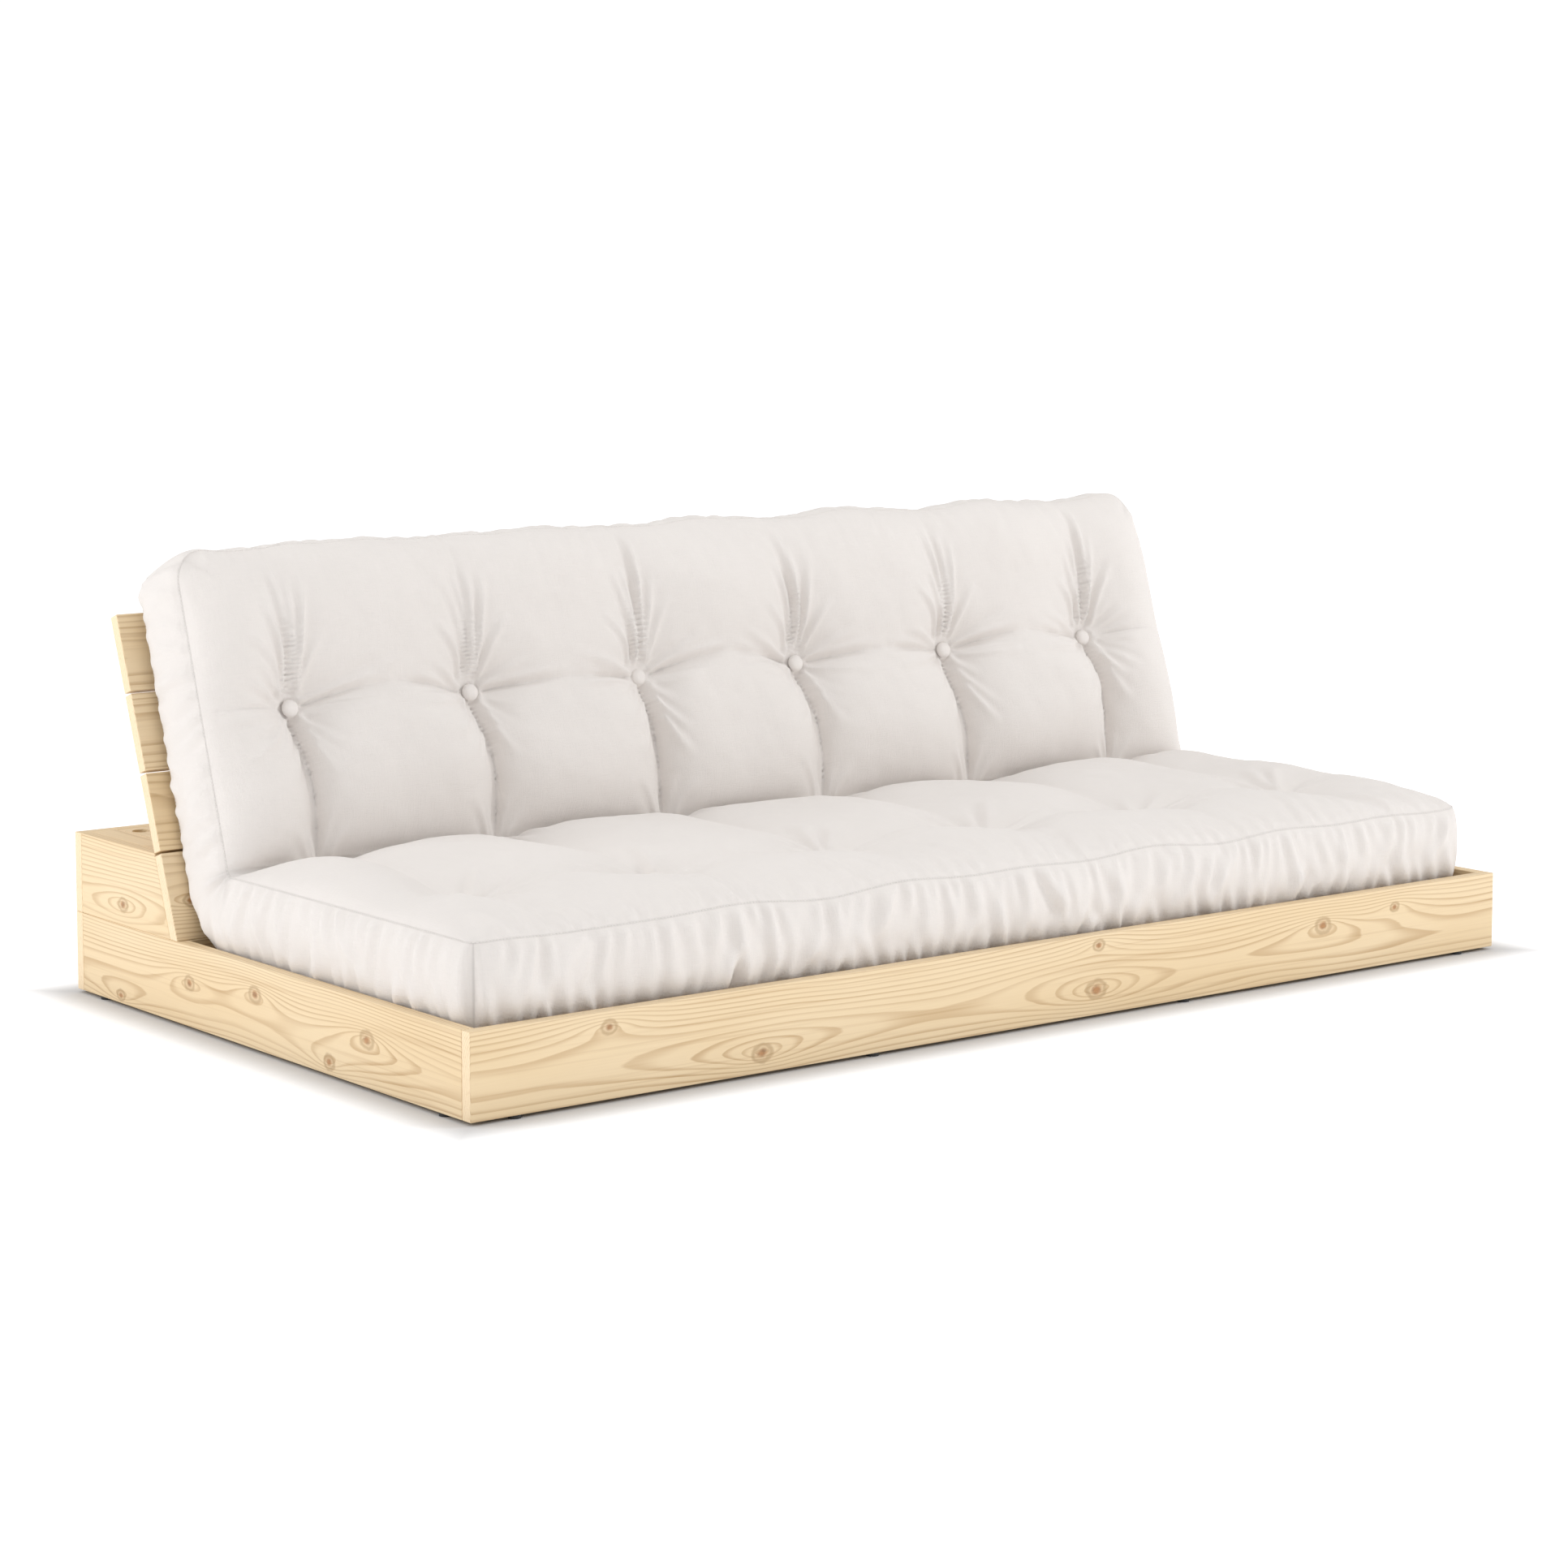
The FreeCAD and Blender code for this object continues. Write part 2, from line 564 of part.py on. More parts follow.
def tufts(parts):
    """Covered buttons on the mattress, in a row on the back and one on the seat."""
    out = V(0, -math.cos(FOLD_LEAN), math.sin(FOLD_LEAN))
    y, z = on_fold(BACK_TUFT_UP, -BACK_THICKNESS / 2)
    rows = (
        ("back_buttons", V(0, y, z), out),
        ("seat_buttons", V(0, SEAT_TUFT_Y, SEAT_TOP), V(0, 0, 1)),
    )
    for name, place, direction in rows:
        group = []
        for x in tuft_places():
            button = rod(TUFT_RADIUS, TUFT_HEIGHT, place + V(x, 0, 0), direction)
            rim = [e for e in button.Edges
                   if e.Curve.TypeId == "Part::GeomCircle"
                   and (e.Curve.Center - place - V(x, 0, 0)).Length > TUFT_HEIGHT / 2]
            group.append(button.makeFillet(TUFT_HEIGHT / 2, rim))
        parts[name] = Part.makeCompound(group)


def build():
    parts = {}
    side_boards(parts)
    rear_boards(parts)
    storage_box(parts)
    back_battens(parts)
    back_slats(parts)
    shelf(parts)
    storage_lid(parts)
    lid_hinges(parts)
    seat_beams(parts)
    seat_slats(parts)
    pull_out(parts)
    glides(parts)
    frame_screws(parts)
    hinge_screws(parts)
    mattress(parts)
    tufts(parts)
    return parts


os.makedirs("parts", exist_ok=True)
for node, shape in build().items():
    if not shape.isValid():
        raise ValueError("the shape of %s is not valid" % node)
    shape.exportStep("parts/%s.step" % node)
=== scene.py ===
"""Futon sofa bed: finishes for the pine frame, the folded tufted mattress with its
buttons and stitched seams, and a pale studio. Metres, in the frame of the CAD model."""
import json
import math

import bpy
import numpy as np
from bpy.props import FloatProperty, FloatVectorProperty, IntProperty, PointerProperty
from mathutils import Euler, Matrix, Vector


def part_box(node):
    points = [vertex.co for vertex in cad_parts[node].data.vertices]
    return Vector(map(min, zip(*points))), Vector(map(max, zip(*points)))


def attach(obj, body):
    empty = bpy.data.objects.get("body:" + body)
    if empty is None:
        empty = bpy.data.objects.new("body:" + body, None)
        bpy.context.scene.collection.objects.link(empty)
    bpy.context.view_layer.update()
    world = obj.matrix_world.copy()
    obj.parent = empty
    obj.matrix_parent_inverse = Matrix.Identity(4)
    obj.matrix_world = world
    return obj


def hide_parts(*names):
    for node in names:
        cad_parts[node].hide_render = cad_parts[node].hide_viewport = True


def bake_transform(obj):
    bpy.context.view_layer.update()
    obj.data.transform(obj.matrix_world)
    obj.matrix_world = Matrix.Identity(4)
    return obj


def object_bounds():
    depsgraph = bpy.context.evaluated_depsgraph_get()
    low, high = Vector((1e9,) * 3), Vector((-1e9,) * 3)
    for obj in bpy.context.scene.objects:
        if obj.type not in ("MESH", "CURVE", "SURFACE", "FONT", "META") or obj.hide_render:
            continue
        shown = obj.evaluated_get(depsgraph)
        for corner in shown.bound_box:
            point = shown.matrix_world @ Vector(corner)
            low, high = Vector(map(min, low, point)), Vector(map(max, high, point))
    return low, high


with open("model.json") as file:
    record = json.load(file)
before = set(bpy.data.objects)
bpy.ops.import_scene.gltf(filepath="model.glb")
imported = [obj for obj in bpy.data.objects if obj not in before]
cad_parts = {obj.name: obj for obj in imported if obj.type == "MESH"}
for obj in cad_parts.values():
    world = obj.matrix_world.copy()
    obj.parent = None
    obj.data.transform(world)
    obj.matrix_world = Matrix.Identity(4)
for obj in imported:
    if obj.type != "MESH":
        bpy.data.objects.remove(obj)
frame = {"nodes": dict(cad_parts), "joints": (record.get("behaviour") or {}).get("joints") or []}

bl_info = {
    "name": "Futon Sofa Bed",
    "version": (1, 0, 0),
    "blender": (4, 5, 0),
    "location": "3D View > Sidebar > Futon",
    "description": "Builds the looks of a pine futon sofa bed around its frame",
    "category": "Object",
}

CAD_BOUNDS = [list(corner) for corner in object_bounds()]
JOINTS = {joint["name"]: joint for joint in frame["joints"]}
FOLD = JOINTS["mattress_fold"]
FOLD_ANGLE = math.radians(FOLD["range_deg"][1])
BACK_LEAN = math.radians(20)
SEAT_LOW, SEAT_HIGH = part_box("mattress_seat")
BACK_TUFTS_LOW, BACK_TUFTS_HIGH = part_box("back_buttons")
SEAT_TUFTS_LOW, SEAT_TUFTS_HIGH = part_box("seat_buttons")
TUFT_RADIUS = (SEAT_TUFTS_HIGH.y - SEAT_TUFTS_LOW.y) / 2
TUFT_COUNT = 6
LEFT_GAP, RIGHT_GAP = 0.004, 0.008        # from the plain solid's sides to the side seams
FOLD_RADIUS = 0.012                       # of the seam plane on the inside of the fold

CAMERA_PLACE = (-3.55054, -4.52101, 1.15302)
CAMERA_HEADING = 0.65991
CAMERA_DIP = 0.10401
CAMERA_LENS = 85.384
CAMERA_SHIFT = -0.105
KEY_PLACE, KEY_TARGET, KEY_SIZE = (6.0, -5.6, 4.2), (0.1, 0, 0.3), (2.4, 2.4)
SIDE_PLACE, SIDE_TARGET, SIDE_SIZE = (-4.4, 1.7, 2.2), (0, 0, 0.3), (2.4, 2.0)
FLOOR_HALF = 600.0
STITCHES = {"Pitch": 0.0052, "Length": 0.0036, "Thickness": 0.0006}
BUTTON_HEIGHT = 0.0100
BUTTON_LIFT = 0.0042                      # above the seam plane


# ---------------------------------------------------------------- sizes and colours

def length_setting(name, description, default):
    return FloatProperty(name=name, description=description, default=default, unit="LENGTH")


def number_setting(name, description, default):
    return FloatProperty(name=name, description=description, default=default)


def count_setting(name, description, default):
    return IntProperty(name=name, description=description, default=default)


def colour_setting(name, description, default):
    return FloatVectorProperty(name=name, description=description, default=default,
                               subtype="COLOR", size=3)


class MattressSizes(bpy.types.PropertyGroup):
    border: length_setting("Border height", "Height of the border between its two seams", 0.118)
    front_gap: length_setting(
        "Front setback", "How far the front seam lies behind the plain solid's front", 0.008)
    back_length: length_setting("Back length", "From the fold's corner to the top seam", 0.527)
    seat_crown: length_setting("Seat crown", "How far the seat swells above its seams", 0.041)
    back_crown: length_setting(
        "Back crown", "How far the back swells in front of its seams", 0.056)
    columns: count_setting("Columns", "Mesh faces across the width", 540)
    rows: count_setting("Rows", "Mesh faces from the front seam to the top seam", 300)
    border_rows: count_setting("Border rows", "Mesh faces up a border", 22)
    sweeps: count_setting("Settling", "Rounds in which the cloth settles", 70)


class FabricLook(bpy.types.PropertyGroup):
    colour: colour_setting("Cotton", "Colour of the cover", (0.86, 0.815, 0.78))
    thread_pitch: length_setting(
        "Thread pitch", "Distance between threads of the weave", 0.0011)


class PineLook(bpy.types.PropertyGroup):
    early: colour_setting("Early wood", "Pale wood between the rings", (0.82, 0.665, 0.445))
    late: colour_setting("Late wood", "Brown lines of the rings", (0.50, 0.32, 0.155))
    knot: colour_setting("Knot", "Heart of a knot", (0.24, 0.115, 0.045))
    end_grain: colour_setting("End grain", "Sawn ends of the boards", (0.90, 0.73, 0.50))
    ring: length_setting("Ring pitch", "Distance between year rings", 0.0040)


class StudioLook(bpy.types.PropertyGroup):
    key_power: number_setting("Key light", "Strength in watts, from the right", 225.0)
    side_power: number_setting("Side light", "Strength in watts, from the left", 58.0)
    front_sky: number_setting("Sky in front", "Even light, front", 0.40)
    top_sky: number_setting("Sky above", "Even light, overhead", 0.74)
    left_sky: number_setting("Sky on the left", "Even light, left", 0.08)
    floor_glow: number_setting("Floor glow", "Light that the paper sweep gives off", 0.60)


# ---------------------------------------------------------------- shader maths

class Wire:
    """A socket that can be added, multiplied and so on, each as a Math node."""

    def __init__(self, shade, socket):
        self.shade = shade
        self.socket = socket


def arithmetic(operation, swapped):
    """The method of Wire for one arithmetic sign; swapped puts the wire second."""
    def method(wire, other):
        values = (other, wire) if swapped else (wire, other)
        return wire.shade.math(operation, *values)
    return method


for sign, operation in (("add", "ADD"), ("sub", "SUBTRACT"), ("mul", "MULTIPLY"),
                        ("truediv", "DIVIDE")):
    setattr(Wire, "__%s__" % sign, arithmetic(operation, False))
    setattr(Wire, "__r%s__" % sign, arithmetic(operation, True))


class Shade:
    """Builds one material, or one world."""

    def __init__(self, name, library="materials"):
        self.material = getattr(bpy.data, library).new(name)
        self.material.use_nodes = True
        self.tree = self.material.node_tree
        self.tree.nodes.clear()
        self.made = 0

    def node(self, kind, settings=None, inputs=None, output=0):
        """Any node: its settings first, then the values or links of its sockets."""
        node = self.tree.nodes.new(kind)
        node.location = (180 * (self.made % 12), -220 * (self.made // 12))
        self.made += 1
        for key, value in (settings or {}).items():
            setattr(node, key, value)
        for key, value in (inputs or {}).items():
            socket = node.inputs[key]
            if isinstance(value, Wire):
                self.tree.links.new(value.socket, socket)
            else:
                socket.default_value = value
        return Wire(self, node.outputs[output])

    def math(self, operation, *values):
        return self.node("ShaderNodeMath", {"operation": operation}, dict(enumerate(values)))

    def smooth(self, value, low, high):
        """0 below low, 1 above high, and a smooth rise between."""
        return self.node("ShaderNodeMapRange", {"interpolation_type": "SMOOTHSTEP"},
                         {"Value": value, "From Min": low, "From Max": high})

    def mix(self, factor, first, second):
        """Colours mixed by a factor."""
        return self.node("ShaderNodeMix", {"data_type": "RGBA"},
                         {0: factor, 6: first, 7: second}, 2)

    def vector(self, x, y, z):
        return self.node("ShaderNodeCombineXYZ", None, {"X": x, "Y": y, "Z": z})

    def place(self):
        """(x, y, z) of a point of the object."""
        coordinates = self.node("ShaderNodeTexCoord", None, None, "Object")
        return self.split(coordinates)

    def split(self, vector):
        first = self.node("ShaderNodeSeparateXYZ", None, {"Vector": vector})
        node = first.socket.node
        return first, Wire(self, node.outputs[1]), Wire(self, node.outputs[2])

    def noise(self, vector, scale, detail=2.0, roughness=0.5):
        """Noise centred on 0, about -0.5 to 0.5."""
        return self.node("ShaderNodeTexNoise", None, {
            "Vector": vector, "Scale": scale, "Detail": detail, "Roughness": roughness}) - 0.5

    def bump(self, height, distance, strength):
        return self.node("ShaderNodeBump", None, {
            "Height": height, "Distance": distance, "Strength": strength})

    def finish(self, surface):
        """Principled surface from its socket values and links."""
        shader = self.node("ShaderNodeBsdfPrincipled", None, surface)
        output = self.tree.nodes.new("ShaderNodeOutputMaterial")
        self.tree.links.new(shader.socket, output.inputs["Surface"])
        return self.material


def rgba(colour, share=1.0):
    return (colour[0] * share, colour[1] * share, colour[2] * share, 1.0)


# ---------------------------------------------------------------- mattress shape

def tuft_places():
    """x of each column of buttons."""
    return np.linspace(BACK_TUFTS_LOW.x + TUFT_RADIUS, BACK_TUFTS_HIGH.x - TUFT_RADIUS, TUFT_COUNT)


def swell(distance, reach, power=0.75):
    """0 at a seam, rising steeply and levelling off at 1 from reach onwards."""
    inside = np.clip(1 - np.clip(distance, 0, None) / reach, 0, 1)
    return (1 - inside ** 2) ** power


def valley(distance, reach, power):
    """1 along a line, falling to 0 at reach."""
    return np.clip(1 - np.abs(distance) / reach, 0, 1) ** power


class Profile:
    """The middle line of the folded mattress, as (y, z) along its length."""

    def __init__(self, sizes):
        self.half = sizes.border / 2
        self.radius = self.half + FOLD_RADIUS
        self.middle_z = FOLD["pos_m"][2] + 0.003
        self.corner_y = FOLD["pos_m"][1] + 0.006
        self.front = SEAT_LOW.y + sizes.front_gap
        tangent = self.radius * math.tan(FOLD_ANGLE / 2)
        self.seat_end = self.corner_y - tangent - self.front
        self.back_start = self.seat_end + self.radius * FOLD_ANGLE
        self.length = self.back_start + sizes.back_length - tangent
        self.tangent = tangent
        direction = np.array([math.cos(FOLD_ANGLE), math.sin(FOLD_ANGLE)])
        button_y = (BACK_TUFTS_LOW.y + BACK_TUFTS_HIGH.y) / 2
        button_z = (BACK_TUFTS_LOW.z + BACK_TUFTS_HIGH.z) / 2
        corner = np.array([self.corner_y, self.middle_z])
        along = float((np.array([button_y, button_z]) - corner) @ direction)
        self.back_tuft = self.back_start - tangent + along
        self.seat_tuft = (SEAT_TUFTS_LOW.y + SEAT_TUFTS_HIGH.y) / 2 - self.front

    def at(self, along):
        """(y, z) on the middle line and the (y, z) direction that runs along it."""
        turn = np.clip((along - self.seat_end) / self.radius, 0, FOLD_ANGLE)
        before = np.minimum(along, self.seat_end)
        after = np.maximum(along - self.back_start, 0)
        y = self.front + before + self.radius * np.sin(turn) + after * np.cos(turn)
        z = self.middle_z + self.radius * (1 - np.cos(turn)) + after * np.sin(turn)
        return y, z, np.cos(turn), np.sin(turn)


class Folds:
    """Folds drawn along bent strokes on a panel, added to its height; gain scales them."""

    def __init__(self, x, along, height, gain=1.0):
        self.x = x
        self.along = along
        self.height = height
        self.gain = gain

    def stroke(self, start, bend, end, size, width, fade, kind="ridge"):
        """One fold from start over bend to end; width is (first, last) half-width and fade
        is the share of its length over which it rises and over which it dies away."""
        steps = np.linspace(0, 1, 28)
        px = (1 - steps) ** 2 * start[0] + 2 * steps * (1 - steps) * bend[0] + steps ** 2 * end[0]
        pv = (1 - steps) ** 2 * start[1] + 2 * steps * (1 - steps) * bend[1] + steps ** 2 * end[1]
        reach = 3.2 * max(width)
        i0, i1 = np.searchsorted(self.x, (px.min() - reach, px.max() + reach))
        j0, j1 = np.searchsorted(self.along, (pv.min() - reach, pv.max() + reach))
        if i1 <= i0 or j1 <= j0:
            return
        gx = self.x[i0:i1, None, None] - px[None, None, :]
        gv = self.along[None, j0:j1, None] - pv[None, None, :]
        gap = gx ** 2 + gv ** 2
        near = gap.argmin(axis=2)
        distance = np.sqrt(np.take_along_axis(gap, near[..., None], 2)[..., 0])
        dx = np.gradient(px)[near]
        dv = np.gradient(pv)[near]
        side = np.sign(dx * np.take_along_axis(gv, near[..., None], 2)[..., 0]
                       - dv * np.take_along_axis(gx, near[..., None], 2)[..., 0])
        share = steps[near]
        q = side * distance / (width[0] + (width[1] - width[0]) * share)
        rise = np.clip(share / fade[0], 0, 1)
        fall = np.clip((1 - share) / fade[1], 0, 1)
        amount = self.gain * size * rise * (3 - 2 * rise) * rise * fall * (2 - fall)
        if kind == "ridge":
            shape = np.exp(-q ** 2) - 0.45 * np.exp(-(q - 1.7) ** 2)
        elif kind == "crease":
            shape = -np.exp(-np.abs(q) * 1.6) + 0.5 * np.exp(-(q - 1.6) ** 2)
        else:
            shape = -np.exp(-np.abs(q) * 1.2)
        self.height[i0:i1, j0:j1] += amount * shape


def pair_slices(shape, step, axis):
    """Index pairs of all points that lie step apart along an axis, in sets that share none."""
    count = shape[axis]
    for start in range(2 * step):
        first, second = [slice(None)] * 2, [slice(None)] * 2
        first[axis] = slice(start, count - step, 2 * step)
        second[axis] = slice(start + step, count, 2 * step)
        yield tuple(first), tuple(second)


def cross_slices(shape):
    """Index pairs of the diagonals of all cells, in sets that share no point."""
    rows, columns = shape
    low, high = slice(0, columns - 1), slice(1, columns)
    for start in range(2):
        first, second = slice(start, rows - 1, 2), slice(start + 1, rows, 2)
        yield (first, low), (second, high)
        yield (first, high), (second, low)


def hold(points, free, first, second, rest, stiffness, push_only):
    """Move pairs of points towards their distance at rest."""
    gap = points[second] - points[first]
    length = np.sqrt(np.einsum("ijk,ijk->ij", gap, gap)) + 1e-9
    near, far = free[first], free[second]
    share = (length - rest) * stiffness / (length * (near + far + 1e-9))
    if push_only:
        share = np.minimum(share, 0)
    points[first] += gap * (share * near)[..., None]
    points[second] -= gap * (share * far)[..., None]


def settle(points, free, target, spare, sweeps, limits):
    """Let cloth that is slightly too large settle over its filling, which makes its folds.
    points are (across, along, height); spare is its excess in both directions; the filling
    pulls each height towards target, and limits are the lowest and highest heights."""
    pull, bend = 0.03, 0.984
    points = points.astype(np.float32)
    free = free.astype(np.float32)
    target = target.astype(np.float32)
    cloth = points[..., :2].copy()
    jobs = []

    def rest(first, second):
        span = np.abs(cloth[second] - cloth[first])
        wide = span[..., 0] * (1 + spare[0][first])
        return np.hypot(wide, span[..., 1] * (1 + spare[1][first])).astype(np.float32)

    for axis in (0, 1):
        for first, second in pair_slices(free.shape, 1, axis):
            jobs.append((first, second, rest(first, second), 1.0, False))
        for first, second in pair_slices(free.shape, 2, axis):
            jobs.append((first, second, bend * rest(first, second), 0.6, True))
    for first, second in cross_slices(free.shape):
        jobs.append((first, second, rest(first, second), 0.25, False))
    for _ in range(sweeps):
        points[..., 2] += (target - points[..., 2]) * (pull * free)
        for job in jobs:
            hold(points, free, *job)
        points[..., 2] = np.clip(points[..., 2], *limits)
    return points.astype(float)


def evened(field, rounds):
    """A field with grid-sized roughness taken out of its inside."""
    for _ in range(rounds):
        inside = field[1:-1, 1:-1]
        ring = field[:-2, 1:-1] + field[2:, 1:-1] + field[1:-1, :-2] + field[1:-1, 2:]
        field = field.copy()
        field[1:-1, 1:-1] = 0.5 * inside + 0.125 * ring
    return field


def soft_noise(rng, x, along, wavelength, size):
    """Gentle unevenness: a sum of waves in random directions."""
    total = np.zeros((len(x), len(along)))
    count = 14
    for _ in range(count):
        angle = rng.uniform(0, 2 * math.pi)
        turns = 2 * math.pi / (wavelength * rng.uniform(0.7, 1.5))
        phase = rng.uniform(0, 2 * math.pi)
        wave = math.cos(angle) * x[:, None] + math.sin(angle) * along[None, :]
        total += np.sin(turns * wave + phase)
    return total * size / math.sqrt(count / 2)


def column_valleys(x, columns, bend, depth, reach, power):
    """Valleys along the button columns; bend shifts each column's line by an array."""
    total = np.zeros((len(x), len(depth)))
    for column, shift in zip(columns, bend):
        total = np.maximum(total, depth * valley(x[:, None] - column - shift, reach, power))
    return total


# between each two buttons of the back: how far the fold bows up, and how deep it is
ROW_ARCHES = (0.046, 0.012, 0.050, 0.014, 0.034)
ROW_CREASES = (0.0072, 0.0058, 0.0078, 0.0052, 0.0062)
# the ridges above a button: how far each leans out, how far it climbs and its height
FAN = ((-0.062, 0.100, 0.0046), (-0.036, 0.150, 0.0066), (-0.014, 0.190, 0.0078),
       (0.008, 0.210, 0.0080), (0.030, 0.165, 0.0068), (0.055, 0.110, 0.0048))
FOLD_GAIN = 1.45             # strengthens the folds that the buttons pull
CREASE_HEIGHT = 0.008        # left above the seam plane where seat and back meet
CREASE_LIMIT = 0.0095        # the most that the cover may rise inside the fold
HELD = 0.009                 # the cover is held to the filling this far round a button
DIMPLE_START = 0.012


def cushion_line(sizes, profile, along, on_back):
    """Height along the length before the buttons are pulled in."""
    front = sizes.seat_crown * swell(along, 0.14)
    crease_seat = swell(profile.seat_end - along, 0.11)
    rise = along - profile.back_start
    crease_back = swell(rise, 0.125, 0.85) * (1.16 - 0.16 * swell(rise, 0.30))
    top = swell(profile.length - along, 0.12)
    seat_line = CREASE_HEIGHT + (front - CREASE_HEIGHT) * crease_seat
    seat_line = np.where(along < 0.1, front, seat_line)
    back_line = CREASE_HEIGHT + (sizes.back_crown * top - CREASE_HEIGHT) * crease_back
    return np.where(on_back, back_line, seat_line)


def column_pull(rng, profile, x, along, on_back):
    """Share of the height that the valleys along the button columns take away."""
    columns = tuft_places()
    reach = (columns[1] - columns[0]) / 2
    v = along - profile.back_tuft
    down = np.clip(-v / (profile.back_tuft - profile.back_start), 0, 1)
    up = np.clip(v / (profile.length - profile.back_tuft), 0, 1)
    below = on_back & (v < 0)
    depth_back = np.where(v < 0, 1 - 0.16 * np.sin(np.pi * down), 1 - 0.86 * np.sqrt(up))
    w = along - profile.seat_tuft
    toward = np.clip(w / (profile.seat_end - profile.seat_tuft), 0, 1)
    away = np.clip(-w / profile.seat_tuft, 0, 1)
    depth_seat = np.where(w > 0, 0.75 - 0.40 * np.sin(np.pi * toward) + 0.2 * toward,
                          0.75 - 0.55 * np.sqrt(away))
    depth = np.where(on_back, depth_back, depth_seat)
    bend = []
    for index in range(len(columns)):
        bow = 0.010 * (1 if index % 2 else 0.6)
        lean = rng.uniform(-0.006, 0.006)
        above = np.where(on_back, -0.5 * bow * np.sin(np.pi * up), 0.0)
        bend.append(np.where(below, bow * np.sin(np.pi * down) + lean * down, above))
    crisp = column_valleys(x, columns, bend, depth, reach, 4.2)
    broad = column_valleys(x, columns, bend, depth, reach, 2.2)
    crispness = np.where(below, 1.0, np.where(on_back, 0.25 * (1 - up), 0.35))
    return crisp * crispness + broad * (1 - crispness)


def row_pull(profile, x, along, on_back):
    """Share of the height that the valleys from button to button take away."""
    columns = tuft_places()
    pitch = columns[1] - columns[0]
    to_column = np.abs(x[:, None] - columns[None, :]).min(axis=1)
    between = np.clip(to_column / (pitch / 2), 0, 1)
    phase = np.clip((x - columns[0]) / pitch, 0, TUFT_COUNT - 1) % 1
    outside = (x < columns[0]) | (x > columns[-1])
    gap = np.clip(((x - columns[0]) / pitch).astype(int), 0, TUFT_COUNT - 2)
    arch = np.where(outside, 0, 0.45 * np.array(ROW_ARCHES)[gap] * np.sin(np.pi * phase))
    back = np.where(outside, np.exp(-to_column / 0.05), 1 - 0.76 * np.sin(np.pi * between / 2))
    v = along - profile.back_tuft
    row_back = back[:, None] * valley(v[None, :] - arch[:, None], 0.15, 3.4)
    seat = np.where(outside, np.exp(-to_column / 0.06), 1 - 0.7 * between)
    w = along - profile.seat_tuft
    row_seat = 0.8 * seat[:, None] * valley(w[None, :], 0.2, 3.0)
    return np.where(on_back[None, :], row_back, row_seat)


def tuft_distances(profile, x, along):
    """Distance of each point to the nearest button of the back, and of the seat."""
    return [np.minimum.reduce([np.hypot(x[:, None] - column, (along - row)[None, :])
                               for column in tuft_places()])
            for row in (profile.back_tuft, profile.seat_tuft)]


def inner_height(sizes, profile, x, along):
    """Height above the seam plane of the side that is sat on, smooth and with its folds
    drawn in, and each point's distance to the nearest button."""
    rng = np.random.default_rng(11)
    edge = np.minimum(x - x[0], x[-1] - x)
    sides = swell(edge, 0.10)[:, None]
    on_back = along >= (profile.seat_end + profile.back_start) / 2
    height = sides * cushion_line(sizes, profile, along, on_back)[None, :]
    columns = column_pull(rng, profile, x, along, on_back)
    rows = row_pull(profile, x, along, on_back)
    to_back, to_seat = tuft_distances(profile, x, along)
    pits = np.maximum(valley(to_back, 0.085, 2.6), 0.95 * valley(to_seat, 0.13, 2.0))
    height *= (1 - columns) * (1 - rows) * (1 - pits)
    height += soft_noise(rng, x, along, 0.24, 0.0026) * sides * swell(along, 0.15)
    start = height + soft_noise(rng, x, along, 0.05, 0.0003) * sides
    folds = Folds(x, along, start, FOLD_GAIN)
    draw_folds(rng, profile, folds)
    folds.gain = 1.0
    low, high = x[0] + 0.02, x[-1] - 0.02
    gathers(rng, folds, 0.003, 1, (0.012, 0.036), (0.03, 0.12), (0.0014, 0.0054), low, high)
    gathers(rng, folds, profile.length - 0.003, -1, (0.010, 0.030), (0.03, 0.11),
            (0.0006, 0.0020), low, high)
    # nothing stands out at the seams themselves, nor under the buttons
    ease = swell(edge, 0.010, 0.5)[:, None]
    ease = ease * swell(np.minimum(along, profile.length - along), 0.010, 0.5)[None, :]
    near_tuft = np.minimum(to_back, to_seat)
    start = height + (start - height) * swell(near_tuft - HELD, 0.014)
    return height * ease, start * ease, near_tuft


def draw_folds(rng, profile, folds):
    """The sharp folds that the buttons pull into the cover."""
    columns = tuft_places()
    for index, x in enumerate(columns):
        fan_above(rng, profile, folds, x)
        folds_below(rng, profile, folds, x, 0.016 if index % 2 else 0.011)
        seat_pulls(rng, profile, folds, x)
    for index in range(len(columns) - 1):
        row_folds(rng, profile, folds, index, columns[index], columns[index + 1])
    outer_fans(rng, profile, folds, columns)


def fan_above(rng, profile, folds, x):
    """Ridges that climb from a button of the back."""
    button = profile.back_tuft
    for offset, rise, size in FAN:
        offset += rng.uniform(-0.007, 0.007)
        rise *= rng.uniform(0.85, 1.2)
        start = (x + 0.26 * offset, button + 0.012)
        bend = (x + 0.30 * offset + 0.005, button + 0.55 * rise)
        end = (x + 1.15 * offset, min(button + rise, profile.length - 0.01))
        folds.stroke(start, bend, end, size * rng.uniform(0.85, 1.15), (0.0042, 0.0080),
                     (0.16, 0.85))


